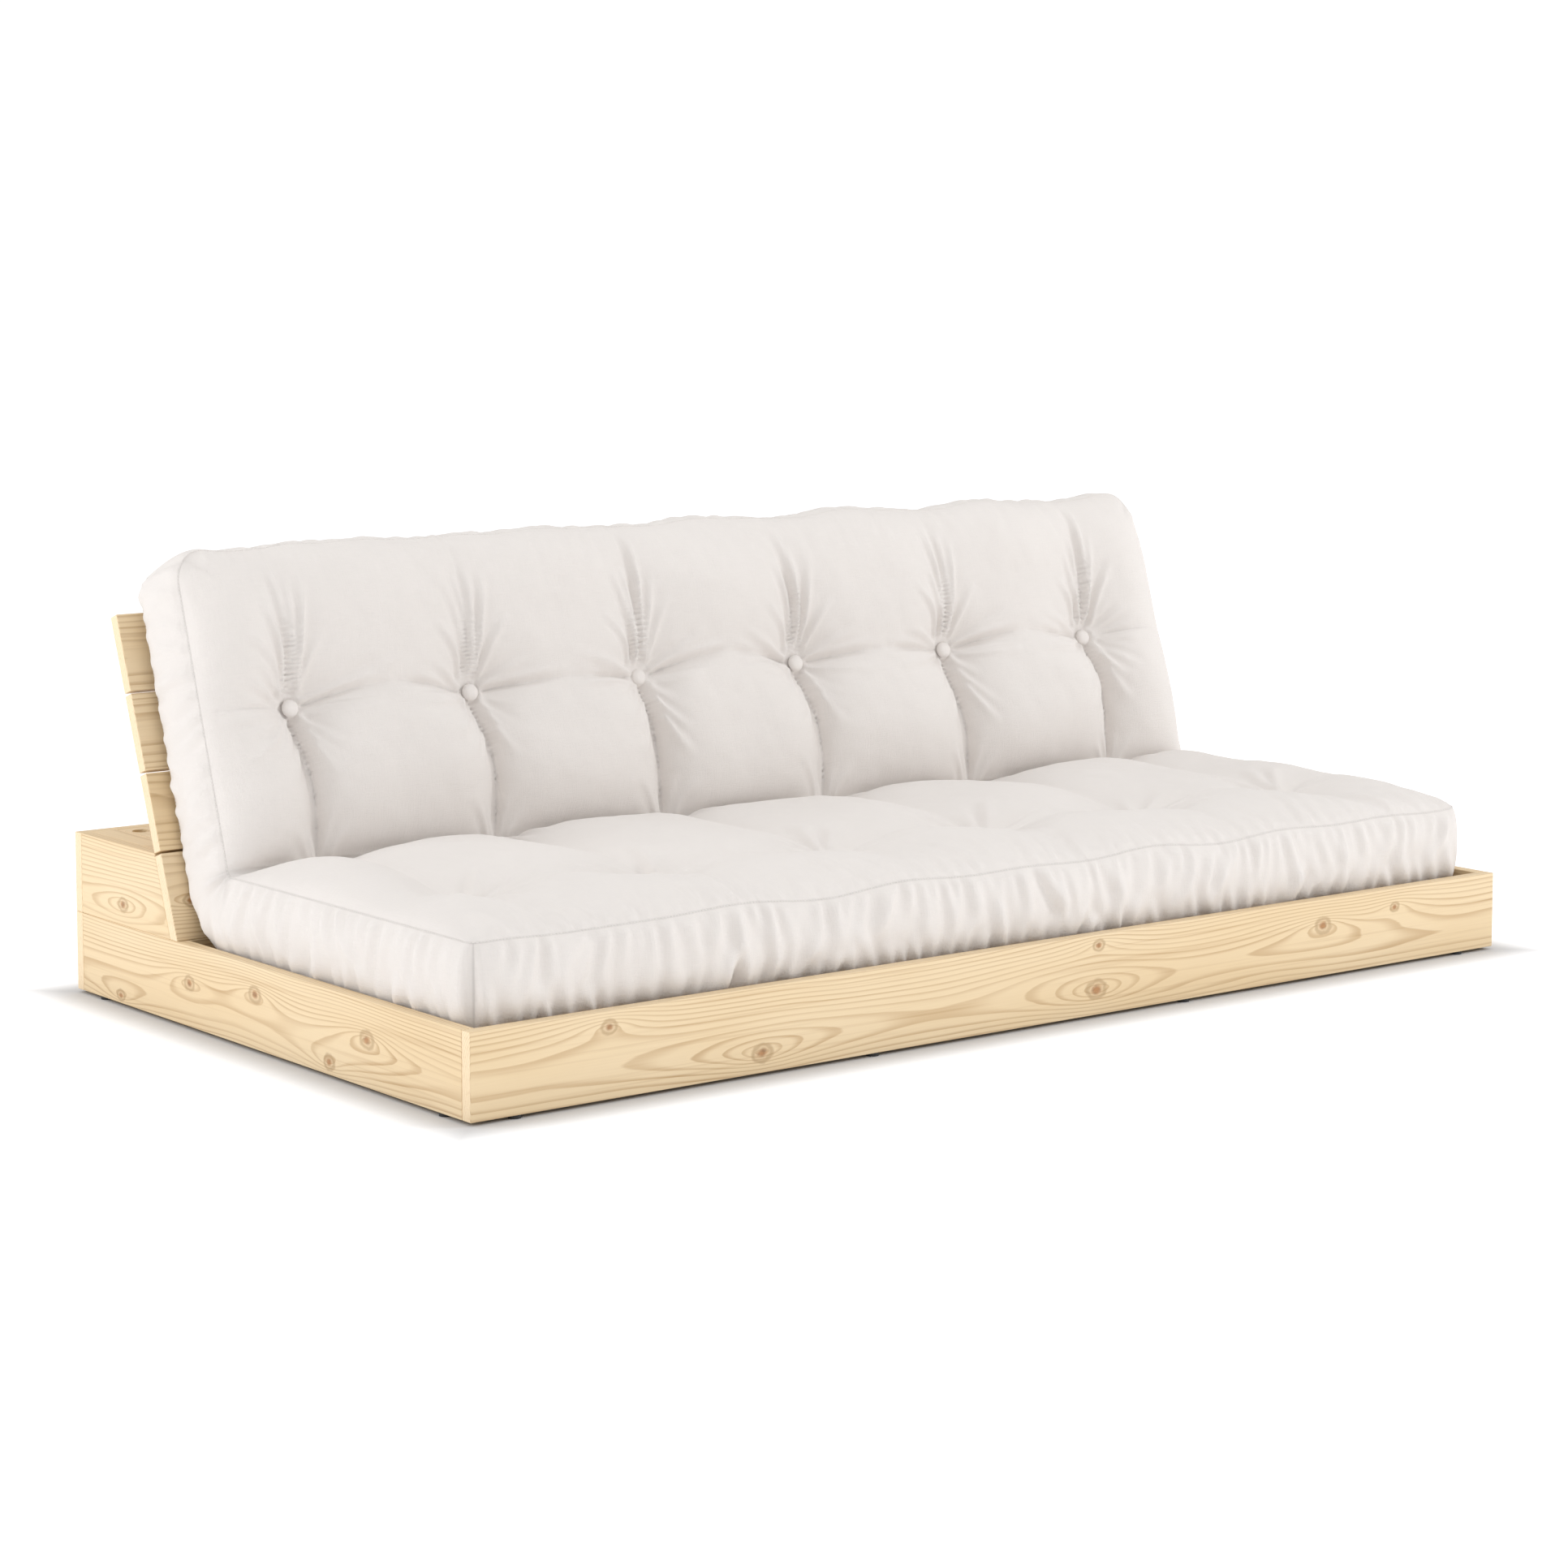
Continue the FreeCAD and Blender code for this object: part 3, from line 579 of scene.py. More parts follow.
def folds_below(rng, profile, folds, x, bow):
    """The bowed crease below a button, pulls that cross from it into the cushions, and
    flares at its foot, where both cushions roll into the fold."""
    button, foot = profile.back_tuft, profile.back_start - 0.01
    folds.stroke((x, button - 0.008), (x + 2 * bow, 0.55 * button + 0.45 * foot),
                 (x + 0.3 * bow, foot), 0.0090, (0.0050, 0.0056), (0.04, 0.12), "groove")
    for side in (-1, 1):
        for order in range(3):
            drop = 0.004 + 0.026 * order + rng.uniform(-0.004, 0.006)
            share = drop / (button - foot)
            px = x + 4 * bow * share * (1 - share) + side * 0.009
            reach = rng.uniform(0.060, 0.100)
            end = (px + side * reach * (0.62 - 0.1 * order), button - drop - reach * 0.85)
            bend = (px + side * reach * 0.16, button - drop - 0.45 * reach)
            folds.stroke((px, button - drop), bend, end,
                         rng.uniform(0.0030, 0.0048), (0.0042, 0.0090), (0.12, 0.95))
        for order in range(2):
            reach = rng.uniform(0.05, 0.10)
            px = x + 0.3 * bow + side * (0.006 + 0.010 * order)
            end = (px + side * (0.25 + 0.35 * order) * reach, foot + reach)
            folds.stroke((px, foot), (px, foot + 0.5 * reach), end,
                         rng.uniform(0.0034, 0.0052), (0.0045, 0.0095), (0.10, 0.95))


def seat_pulls(rng, profile, folds, x):
    """Soft pulls into a dimple of the seat, and pleats where the seat runs into the fold."""
    for angle in np.arange(0, 360, 40) + rng.uniform(-15, 15, 9):
        reach = rng.uniform(0.07, 0.16)
        dx, dv = math.cos(math.radians(angle)), math.sin(math.radians(angle))
        start = (x + DIMPLE_START * dx, profile.seat_tuft + DIMPLE_START * dv)
        end = (x + reach * dx, profile.seat_tuft + reach * dv)
        folds.stroke(start, ((start[0] + end[0]) / 2, (start[1] + end[1]) / 2), end,
                     rng.uniform(0.0034, 0.0055), (0.006, 0.014), (0.2, 0.9))
    crease = profile.seat_end + 0.01
    for offset in (-0.045, -0.018, 0.012, 0.040):
        at = x + offset + rng.uniform(-0.008, 0.008)
        reach = rng.uniform(0.05, 0.10)
        end = (at + 0.4 * offset, crease - reach)
        folds.stroke((at, crease), (at, profile.seat_end - 0.4 * reach), end,
                     rng.uniform(0.002, 0.004), (0.007, 0.012), (0.1, 0.9))


def row_folds(rng, profile, folds, index, left, right):
    """The crease between two buttons of the back, with small folds at both its ends."""
    button, arch = profile.back_tuft, ROW_ARCHES[index]
    middle = ((left + right) / 2, button + arch / 2)
    for x, way in ((left, 1), (right, -1)):
        folds.stroke((x + way * 0.012, button), (x + way * 0.08, button + 0.45 * arch), middle,
                     ROW_CREASES[index], (0.0050, 0.0080), (0.10, 0.70), "crease")
    from_left = (0.06, 0.13) if index % 2 else (0.10, 0.19)
    for order in range(4):
        rise = -0.020 + 0.014 * order
        for x, way, span, size, width in ((left, 1, from_left, 0.0048, 0.0085),
                                          (right, -1, (0.08, 0.16), 0.0050, 0.0090)):
            reach = way * rng.uniform(*span)
            end = (x + reach, button + 1.6 * rise + arch * 0.5)
            folds.stroke((x + way * 0.013, button + 0.3 * rise), (x + 0.4 * reach, button + rise),
                         end, rng.uniform(0.003, size), (0.0042, width), (0.12, 0.9))


def outer_fans(rng, profile, folds, columns):
    """Fans outside the first and the last column."""
    button = profile.back_tuft
    for x, side in ((columns[0], -1), (columns[-1], 1)):
        for angle in (-62, -42, -24, -8, 10, 30, 52):
            reach = rng.uniform(0.075, 0.125)
            dx = side * math.cos(math.radians(angle))
            dv = math.sin(math.radians(angle))
            start = (x + DIMPLE_START * dx, button + DIMPLE_START * dv)
            end = (x + reach * dx, button + reach * dv)
            bend = (x + 0.5 * reach * dx, button + 0.5 * reach * dv - 0.006)
            folds.stroke(start, bend, end, rng.uniform(0.0035, 0.0055), (0.0042, 0.0095),
                         (0.12, 0.95))


def gathers(rng, folds, seam_at, inward, spacing, length, size, low, high):
    """Short folds that run square to a seam, at uneven spacing."""
    x = low
    while x < high:
        x += rng.uniform(*spacing)
        reach = rng.uniform(*length)
        slope = rng.normal(0.28 * math.sin(11.0 * x + 1.0), 0.20)
        start = (x, seam_at)
        end = (x + slope * reach, seam_at + inward * reach)
        bend = (x + 0.35 * slope * reach, seam_at + 0.5 * inward * reach)
        folds.stroke(start, bend, end, rng.uniform(*size), (rng.uniform(0.006, 0.010), 0.012),
                     (0.05, 0.95))


def border_height(rng, width, tall, swelling, pleats, noise, end_reach=0.03):
    """Height of a border: swollen between its seams, with folds across it. pleats lists
    (low, high, spacing, size) for stretches of the border."""
    height = swelling * (1 - (2 * tall[None, :] / tall[-1] - 1) ** 2) ** 0.7
    height = height * np.ones((len(width), 1))
    height += soft_noise(rng, width, tall, 0.12, noise) * (height / swelling)
    folds = Folds(width, tall, height)
    for low, high, spacing, size in pleats:
        gathers(rng, folds, 0.0, 1, spacing, (0.45 * tall[-1], 1.0 * tall[-1]), size, low, high)
        gathers(rng, folds, tall[-1], -1, (1.3 * spacing[0], 1.3 * spacing[1]),
                (0.3 * tall[-1], 0.7 * tall[-1]), size, low, high)
    ends = swell(np.minimum(width - width[0], width[-1] - width), end_reach, 0.6)[:, None]
    seams = swell(np.minimum(tall, tall[-1] - tall), 0.008, 0.5)[None, :]
    return evened(height, 1) * ends * seams


def wander(rng, values, wavelength, size):
    """A slow sideways drift along a line."""
    total = np.zeros(len(values))
    for _ in range(5):
        turns = 2 * math.pi / (wavelength * rng.uniform(0.7, 1.6))
        total += np.sin(turns * values + rng.uniform(0, 2 * math.pi))
    return total * size / 2.2


def closer_near(low, high, count, centres, reach, gain):
    """Places from low to high that lie closer together near some centres."""
    fine = np.linspace(low, high, 4001)
    density = np.ones(len(fine))
    for centre in centres:
        density += gain * np.exp(-((fine - centre) / reach) ** 4)
    total = np.concatenate(((0,), np.cumsum((density[1:] + density[:-1]) / 2)))
    return np.interp(np.linspace(0, total[-1], count + 1), total, fine)


class Mattress:
    """Grid of points over the six faces of the folded mattress."""

    def __init__(self, sizes):
        self.sizes = sizes
        self.profile = Profile(sizes)
        low, high = SEAT_LOW.x + LEFT_GAP, SEAT_HIGH.x + RIGHT_GAP
        self.x = closer_near(low, high, sizes.columns, tuft_places(), 0.055, 1.4)
        self.along = closer_near(0, self.profile.length, sizes.rows,
                                 [self.profile.back_tuft + 0.02], 0.11, 1.4)
        self.tall = np.linspace(0, sizes.border, sizes.border_rows + 1)

    def inner_sheet(self):
        """(across, along, height) of the side that is sat on, with its folds."""
        profile, x, along = self.profile, self.x, self.along
        target, start, near_tuft = inner_height(self.sizes, profile, x, along)
        sheet = np.stack(np.broadcast_arrays(x[:, None], along[None, :], start), -1)
        free = np.ones(target.shape)
        free[[0, -1]] = 0
        free[:, [0, -1]] = 0
        free[near_tuft < HELD] = 0
        # inside the fold the cover can't swell into the other half
        arc = (along > profile.seat_end) & (along < profile.back_start)
        ceiling = np.where(arc, CREASE_LIMIT, 0.2)[None, :] * np.ones(target.shape)
        sheet[..., 2] = 0.5 * (start + target)
        sheet = settle(sheet, free, target, self.spare_cloth(near_tuft), self.sizes.sweeps,
                       (target - 0.012, np.minimum(ceiling, target + 0.016)))
        wrinkles = evened(sheet[..., 2], 1) - target
        wrinkles *= 0.2 + 0.8 * swell(near_tuft - 0.01, 0.12)
        sheet[..., 2] = np.minimum(start + 0.5 * wrinkles, ceiling)
        for part in (0, 1):
            sheet[..., part] = evened(sheet[..., part], 1)
        return sheet

    def spare_cloth(self, near_tuft):
        """How much too large the cover is, as shares of its width and of its length."""
        x, along = self.x, self.along
        on_back = swell(along - self.profile.seat_end, 0.05, 1.0)
        across = 0.012 + 0.022 * on_back + np.exp(-along / 0.05) * 0.03
        sides = np.exp(-np.minimum(x - x[0], x[-1] - x) / 0.05) * 0.02
        lengthways = 0.010 + 0.022 * on_back
        near = 0.045 * np.exp(-near_tuft / 0.06)
        return across[None, :] + near, lengthways[None, :] + sides[:, None] + near

    def corner(self, x, along):
        """Round the four corners of the outline, more at the top of the back."""
        x, along = np.broadcast_arrays(x, along)
        x, along = x.astype(float), along.astype(float)
        left, right, back = self.x[0], self.x[-1], self.profile.length
        for end, side, radius in ((0, left, 0.018), (0, right, 0.030), (back, left, 0.052),
                                  (back, right, 0.052)):
            inward = 1 if end == 0 else -1
            v = (along - end) * inward
            sideways = 1 if side == left else -1
            u = (x - side) * sideways
            inside = (u < radius) & (v < radius)
            pu, pv = radius - u, radius - v
            square = np.maximum(pu, pv)
            round_off = square / np.maximum(np.hypot(pu, pv), 1e-9)
            x = np.where(inside, side + sideways * (radius - pu * round_off), x)
            along = np.where(inside, end + inward * (radius - pv * round_off), along)
        return x, along

    def placed(self, x, along, level):
        """Points in space from places on the mattress and heights above its middle."""
        dip = np.zeros(np.shape(x))
        for column in tuft_places():
            dip = np.maximum(dip, valley(x - column - 0.008, 0.13, 1.8))
        waves = np.sin(23.0 * np.asarray(x)) + np.sin(41.0 * np.asarray(x) + 2.0)
        top = np.exp((along - self.profile.length) / 0.07)
        along = along + (0.002 * waves - 0.007 * dip) * top
        x, along = self.corner(x, along)
        y, z, dy, dz = self.profile.at(along)
        return np.stack((x, y - dz * level, z + dy * level), -1)

    def panel(self, inner):
        """Points of the inner or outer panel."""
        sign = 1 if inner else -1
        if inner:
            sheet = self.inner_sheet()
            x, along, height = sheet[..., 0], sheet[..., 1], sheet[..., 2]
            height[:, [0, -1]] = 0
            height[[0, -1], :] = 0
        else:
            x, along, height = self.x[:, None], self.along[None, :], self.outer_height()
        level = sign * (self.profile.half + height) + self.seam_wave(sign)
        return self.placed(x, along, level)

    def seam_wave(self, sign):
        """Slow wander of the seams along the front, off at the sides."""
        rng = np.random.default_rng(23 if sign > 0 else 29)
        wave = wander(rng, self.x, 0.30, 0.0035 if sign > 0 else 0.0015)
        ends = swell(np.minimum(self.x - self.x[0], self.x[-1] - self.x), 0.2, 1.0)
        return (wave * ends)[:, None] * np.exp(-self.along / 0.10)[None, :]

    def outer_height(self):
        """Height of the underside and rear, which lie flat on the slats."""
        rng = np.random.default_rng(17)
        profile = self.profile
        sides = swell(np.minimum(self.x - self.x[0], self.x[-1] - self.x), 0.10)[:, None]
        ends = swell(np.minimum(self.along, profile.length - self.along), 0.09)[None, :]
        on_back = self.along > profile.back_start
        # it swells a little under the seat; behind the fold it has to clear the slats when flat
        crown = 0.0062 - 0.0054 * swell(self.along - profile.seat_end, 0.05)
        height = crown[None, :] * sides * ends
        ripple = soft_noise(rng, self.x, self.along, 0.10, 0.0003)
        return height + ripple * sides * ends * on_back[None, :]

    def border(self, last):
        """Points of the front border (last is False) or the top border, from top seam down."""
        profile = self.profile
        along = np.array([profile.length if last else 0.0])
        _, _, dy, dz = (float(value[0]) for value in profile.at(along))
        rng = np.random.default_rng(31 if last else 37)
        swelling = 0.013 if last else 0.014
        low, high = self.x[0] + 0.012, self.x[-1] - 0.012
        pleats = (low, high, (0.02, 0.06), (0.001, 0.003))
        if not last:
            pleats = (low, high, (0.010, 0.030), (0.0038, 0.0100))
        height = border_height(rng, self.x, self.tall, swelling, [pleats], 0.0012,
                               0.14 if last else 0.03)
        if last:
            crest = column_valleys(self.x, tuft_places(), np.zeros(TUFT_COUNT),
                                   np.array([0.30]), 0.12, 2.5)
            height *= 1 - crest
        way = 1 if last else -1
        share = self.tall / self.tall[-1]
        edge = -1 if last else 0
        top, low = self.seam_wave(1)[:, edge], self.seam_wave(-1)[:, edge]
        level = (profile.half - self.tall)[None, :] + top[:, None] * (1 - share)
        level = level + low[:, None] * share
        points = self.placed(self.x[:, None], along[None, :] + 0 * level, level)
        points[..., 1] += way * dy * height
        points[..., 2] += way * dz * height
        return points

    def side(self, right):
        """Points of the left or right border, along the length and from top seam down."""
        rng = np.random.default_rng(41 if right else 43)
        turn = self.profile.seat_end
        pleats = [(0.012, turn, (0.014, 0.040), (0.0030, 0.0075)),
                  (turn, self.profile.length - 0.02, (0.010, 0.034), (0.0020, 0.0055))]
        swelling = 0.018 if right else 0.013
        height = border_height(rng, self.along, self.tall, swelling, pleats, 0.0016, 0.02)
        share = self.tall / self.tall[-1]
        edge = -1 if right else 0
        top, low = self.seam_wave(1)[edge], self.seam_wave(-1)[edge]
        level = (self.profile.half - self.tall)[None, :] + top[:, None] * (1 - share)
        level = level + low[:, None] * share
        points = self.placed(self.x[edge], self.along[:, None] + 0 * level, level)
        points[..., 0] += (1 if right else -1) * height
        return points


def closed_box_mesh(name, spacing, inner, outer, front, top, left, right):
    """One closed mesh from six grids that share their edges, with a UV map in metres."""
    nx, ns = inner.shape[0] - 1, inner.shape[1] - 1
    nt = front.shape[1] - 1
    ids = -np.ones((nx + 1, ns + 1, nt + 1), dtype=np.int64)
    shell = np.zeros(ids.shape, dtype=bool)
    shell[[0, -1]] = True
    shell[:, [0, -1]] = True
    shell[:, :, [0, -1]] = True
    ids[shell] = np.arange(shell.sum())
    grid = np.zeros(ids.shape + (3,))
    grid[0], grid[-1] = left, right
    grid[:, 0], grid[:, -1] = front, top
    grid[:, :, 0], grid[:, :, -1] = inner, outer
    faces, uvs = [], []
    steps = np.meshgrid(np.arange(nx + 1), np.arange(ns + 1), np.arange(nt + 1), indexing="ij")
    measure = [values[index] for values, index in zip(spacing, steps)]

    def patch(sheet, first, second, turned, offset):
        a, b = sheet[:-1, :-1], sheet[1:, :-1]
        c, d = sheet[1:, 1:], sheet[:-1, 1:]
        quads = np.stack((a, d, c, b) if turned else (a, b, c, d), -1).reshape(-1, 4)
        u = first + offset
        v = second
        corners = [np.stack((p, q), -1) for p, q in (
            (u[:-1, :-1], v[:-1, :-1]), (u[1:, :-1], v[1:, :-1]),
            (u[1:, 1:], v[1:, 1:]), (u[:-1, 1:], v[:-1, 1:]))]
        if turned:
            corners = [corners[0], corners[3], corners[2], corners[1]]
        faces.append(quads)
        uvs.append(np.stack(corners, 2).reshape(-1, 4, 2))

    x, along, tall = measure
    patch(ids[:, :, 0], x[:, :, 0], along[:, :, 0], False, 0)
    patch(ids[:, :, -1], x[:, :, -1], along[:, :, -1], True, 3)
    patch(ids[:, 0], x[:, 0], tall[:, 0], True, 6)
    patch(ids[:, -1], x[:, -1], tall[:, -1], False, 9)
    patch(ids[0], along[0], tall[0], False, 12)
    patch(ids[-1], along[-1], tall[-1], True, 15)
    piece = mesh_object(name, grid[shell], np.concatenate(faces), np.concatenate(uvs))
    # seam points are marked, and the cover's material paints shade along them
    ends = [(index == 0) | (index == count) for index, count in zip(steps, (nx, ns, nt))]
    seam_painted_shade = (ends[2] & (ends[0] | (steps[1] == 0))) | (ends[0] & (steps[1] == 0))
    mark = piece.data.attributes.new("seam_painted_shade", "FLOAT", "POINT")
    mark.data.foreach_set("value", seam_painted_shade[shell].astype(np.float32))
    return piece


def mesh_object(name, points, quads, uv=None):
    """A smooth mesh object from arrays of points and quads."""
    mesh = bpy.data.meshes.new(name)
    mesh.vertices.add(len(points))
    mesh.vertices.foreach_set("co", np.ascontiguousarray(points, np.float32).ravel())
    mesh.loops.add(quads.size)
    mesh.loops.foreach_set("vertex_index", quads.astype(np.int32).ravel())
    mesh.polygons.add(len(quads))
    mesh.polygons.foreach_set("loop_start", np.arange(0, quads.size, 4, dtype=np.int32))
    if uv is not None:
        layer = mesh.uv_layers.new(name="cloth")
        layer.data.foreach_set("uv", uv.astype(np.float32).ravel())
    mesh.update(calc_edges=True)
    mesh.validate()
    mesh.polygons.foreach_set("use_smooth", np.ones(len(mesh.polygons), dtype=bool))
    piece = bpy.data.objects.new(name, mesh)
    bpy.context.scene.collection.objects.link(piece)
    return piece


def bend_over_fold(piece):
    """Bake the piece's placement into its mesh."""
    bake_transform(piece)


class FUTON_OT_mattress(bpy.types.Operator):
    """Build the folded, tufted mattress"""
    bl_idname = "futon.mattress"
    bl_label = "Mattress"

    def execute(self, context):
        sizes = context.scene.futon_mattress
        shape = Mattress(sizes)
        grids = (shape.panel(True), shape.panel(False), shape.border(False), shape.border(True),
                 shape.side(False), shape.side(True))
        spacing = (shape.x, shape.along, shape.tall)
        piece = closed_box_mesh("mattress", spacing, *grids)
        piece.data.materials.append(cotton(context.scene.futon_fabric, "cotton_cover", "UV"))
        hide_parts("mattress_seat", "mattress_back")
        bend_over_fold(piece)
        return {"FINISHED"}


# ---------------------------------------------------------------- materials

def cotton(look, name, space):
    """Undyed cotton twill with slubs, faint creases and a soft nap, and painted shade along the seams.
    """
    shade = Shade(name)
    coordinates = shade.node("ShaderNodeTexCoord", None, None, space)
    x, y, _ = shade.split(coordinates)
    place = shade.node("ShaderNodeTexCoord", None, None, "Object")
    turns = 2 * math.pi / look.thread_pitch
    drift = shade.noise(coordinates, 90.0, 2.0)
    warp = shade.math("SINE", x * turns + drift * 3.0)
    weft = shade.math("SINE", y * turns + drift * 3.0)
    weave = warp * weft
    long_x = shade.node("ShaderNodeMapping", None, {"Vector": coordinates, "Scale": (1, 26, 1)})
    long_y = shade.node("ShaderNodeMapping", None, {"Vector": coordinates, "Scale": (26, 1, 1)})
    slub = shade.noise(long_x, 34.0, 3.0, 0.6) + shade.noise(long_y, 34.0, 3.0, 0.6)
    cloud = shade.noise(place, 5.0, 3.0, 0.55)
    crease = shade.node("ShaderNodeTexNoise", {"noise_type": "RIDGED_MULTIFRACTAL"}, {
        "Vector": place, "Scale": 9.0, "Detail": 3.0, "Roughness": 0.45, "Distortion": 0.6})
    tone = 0.5 + slub * 0.42 + weave * 0.05 + cloud * 0.35
    base = shade.mix(shade.smooth(tone, 0.0, 1.0), rgba(look.colour, 0.94),
                     rgba(look.colour, 1.03))
    # painted shade: along the seams the colour darkens towards 0.62 of the cotton's, as if the seam
    # groove lay in shade
    seam_painted_shade = shade.node("ShaderNodeAttribute", {"attribute_name": "seam_painted_shade"}, None, "Fac")
    base = shade.mix(shade.smooth(seam_painted_shade, 0.55, 1.0) * 0.36, base, rgba(look.colour, 0.62))
    rumple = shade.noise(place, 16.0, 4.0, 0.5)
    height = weave * 0.10 + slub * 0.55 + crease * 0.60 + cloud * 0.2 + rumple * 0.7
    normal = shade.bump(height, 0.0023, 0.6)
    return shade.finish({
        "Base Color": base, "Normal": normal, "Roughness": 0.92, "Sheen Weight": 0.18,
        "Sheen Roughness": 0.45, "Specular IOR Level": 0.25})


def pine(look, name, grain, pith, seed, knots=(), lean=0.0):
    """Pine with its grain along one axis ("X", "Y" or "Z"; "XZ" and "YZ" name the axes that
    run along and across). pith is where the rings' centre line runs, as (across, deep), knots
    are (along, across, radius), and lean tilts an upright board's grain to the rear."""
    shade = Shade(name)
    x, y, z = shade.place()
    if lean:
        y, z = y * math.cos(lean) - z * math.sin(lean), y * math.sin(lean) + z * math.cos(lean)
    order = {"X": (x, z, y), "Y": (y, x, z), "Z": (z, x, y), "XZ": (x, y, z), "YZ": (y, z, x)}
    along, across, deep = order[grain]
    stretched = shade.vector(along * 1.0 + seed * 3.7, across * 9.0, deep * 9.0)
    drift = shade.noise(stretched, 1.6, 2.0, 0.45)
    sway = shade.noise(shade.vector(along * 1.0 + seed, 0.0, 0.0), 2.2, 1.0)
    offset = across - pith[0] + sway * 0.03
    depth = deep - pith[1] + drift * 0.014
    radius = shade.math("SQRT", offset * offset + depth * depth)
    ragged = shade.noise(shade.vector(along * 70.0, across * 90.0, deep * 90.0 + seed), 1.0, 2.0)
    wrap = None
    heart = None
    rim = None
    for knot_along, knot_across, size in knots:
        u = (along - knot_along + drift * 0.006) / (1.35 * size)
        v = (across - knot_across + drift * 0.004) / size
        reach = shade.math("SQRT", u * u + v * v) + ragged * 0.55
        wide = shade.math("SQRT", u * u * 0.14 + v * v)
        lift = shade.math("EXPONENT", wide * -0.55) * (size * 1.75)
        core = 1.0 - shade.smooth(reach, 0.18, 0.80)
        ring = 1.0 - shade.smooth(shade.math("ABSOLUTE", reach - 0.95), 0.06, 0.42)
        wrap = lift if wrap is None else wrap + lift
        heart = core if heart is None else shade.math("MAXIMUM", heart, core)
        rim = ring if rim is None else shade.math("MAXIMUM", rim, ring)
    if wrap:
        radius = radius - wrap
    fine = shade.noise(shade.vector(along * 3.0, across * 60.0, deep * 60.0), 2.0, 3.0, 0.6)
    turns = radius / look.ring + fine * 0.16 + seed
    part = shade.math("FRACT", turns)
    rise = shade.smooth(part, 0.46, 0.90)
    fall = 1.0 - shade.smooth(part, 0.91, 0.995)
    strength = 0.55 + shade.noise(shade.vector(along * 0.8, across * 6.0 + seed, radius * 30.0),
                                  3.0, 2.0) * 0.9
    streak = shade.noise(shade.vector(along * 2.2 + seed, across * 150.0, deep * 150.0), 1.0, 3.0)
    band = rise * fall * strength * 0.92 + shade.smooth(streak, 0.0, 0.30) * 0.34
    pores = shade.noise(shade.vector(along * 9.0, across * 420.0, deep * 420.0), 1.0, 3.0, 0.6)
    blush = shade.noise(shade.vector(along * 1.4 + seed, across * 5.0, deep * 5.0), 1.3, 2.0)
    pale = shade.mix(shade.smooth(blush, -0.28, 0.28), rgba(look.early, 1.03),
                     (look.early[0] * 0.97, look.early[1] * 0.92, look.early[2] * 0.83, 1))
    colour = shade.mix(shade.smooth(pores, -0.5, 0.5), pale,
                       shade.mix(0.10, pale, rgba(look.late)))
    colour = shade.mix(shade.math("MINIMUM", band, 0.85), colour, rgba(look.late))
    if heart:
        spots = shade.noise(shade.vector(along * 160.0, across * 160.0, deep * 160.0), 1.0, 3.0)
        warm = shade.mix(shade.smooth(spots, -0.2, 0.3), rgba(look.knot, 1.9), rgba(look.knot))
        colour = shade.mix(rim * 0.55, colour, rgba(look.late, 0.8))
        colour = shade.mix(heart * 0.9, colour, warm)
    # sawn ends are paler and show the rings as arcs
    normal = shade.node("ShaderNodeNewGeometry", None, None, "True Normal")
    facing = dict(zip("XYZ", shade.split(normal)))[grain[0]]
    sawn = shade.smooth(shade.math("ABSOLUTE", facing), 0.80, 0.90)
    speck = shade.noise(shade.vector(along * 200.0, across * 300.0, deep * 300.0), 1.0, 2.0)
    ends = shade.mix(shade.math("MINIMUM", band * 0.55 + speck * 0.25 + 0.06, 1.0),
                     rgba(look.end_grain), rgba(look.late, 1.15))
    colour = shade.mix(sawn, colour, ends)
    height = band * -0.35 + pores * 0.5
    return shade.finish({
        "Base Color": colour, "Normal": shade.bump(height, 0.0005, 0.5),
        "Roughness": 0.50 + band * 0.12 + pores * 0.1, "Specular IOR Level": 0.38,
        "Coat Weight": 0.06, "Coat Roughness": 0.35})


def steel(name, colour, roughness):
    """Zinc-plated steel with a faint drawn grain."""
    shade = Shade(name)
    x, y, z = shade.place()
    grain = shade.noise(shade.vector(x * 12.0, y * 500.0, z * 500.0), 1.0, 2.0)
    cloud = shade.noise(shade.vector(x, y, z), 60.0, 2.0)
    tone = shade.mix(shade.smooth(cloud, -0.3, 0.3), rgba(colour, 0.9), rgba(colour, 1.05))
    return shade.finish({
        "Base Color": tone, "Metallic": 1.0, "Roughness": roughness + grain * 0.16,
        "Normal": shade.bump(grain, 0.0001, 0.3)})


def moulded(name, colour):
    """Black moulded plastic with a fine spark texture."""
    shade = Shade(name)
    x, y, z = shade.place()
    spark = shade.noise(shade.vector(x, y, z), 900.0, 2.0)
    return shade.finish({
        "Base Color": shade.mix(shade.smooth(spark, -0.3, 0.3), rgba(colour), rgba(colour, 1.3)),
        "Roughness": 0.55 + spark * 0.1, "Normal": shade.bump(spark, 0.0002, 0.3)})


def ply(look, name):
    """Thin panel with a plain sliced face."""
    shade = Shade(name)
    x, y, z = shade.place()
    wave = shade.noise(shade.vector(x * 1.5, y * 24.0, z * 24.0), 2.0, 3.0)
    tone = shade.mix(shade.smooth(wave, -0.3, 0.3), rgba(look.early, 0.9), rgba(look.late, 1.25))
    return shade.finish({
        "Base Color": tone, "Roughness": 0.6 + wave * 0.1, "Normal": shade.bump(wave, 0.0003, 0.3)})


# ---------------------------------------------------------------- frame finishes

def dress(node, material):
    """Give a CAD node its material."""
    mesh = frame["nodes"][node].data
    mesh.materials.clear()
    mesh.materials.append(material)
    mesh.polygons.foreach_set("material_index", np.zeros(len(mesh.polygons), dtype=np.int32))


def board(look, node, grain, pith, seed, knots=(), lean=0.0):
    """Dress a board in pine of its own."""
    dress(node, pine(look, "pine_" + node, grain, pith, seed, knots, lean))


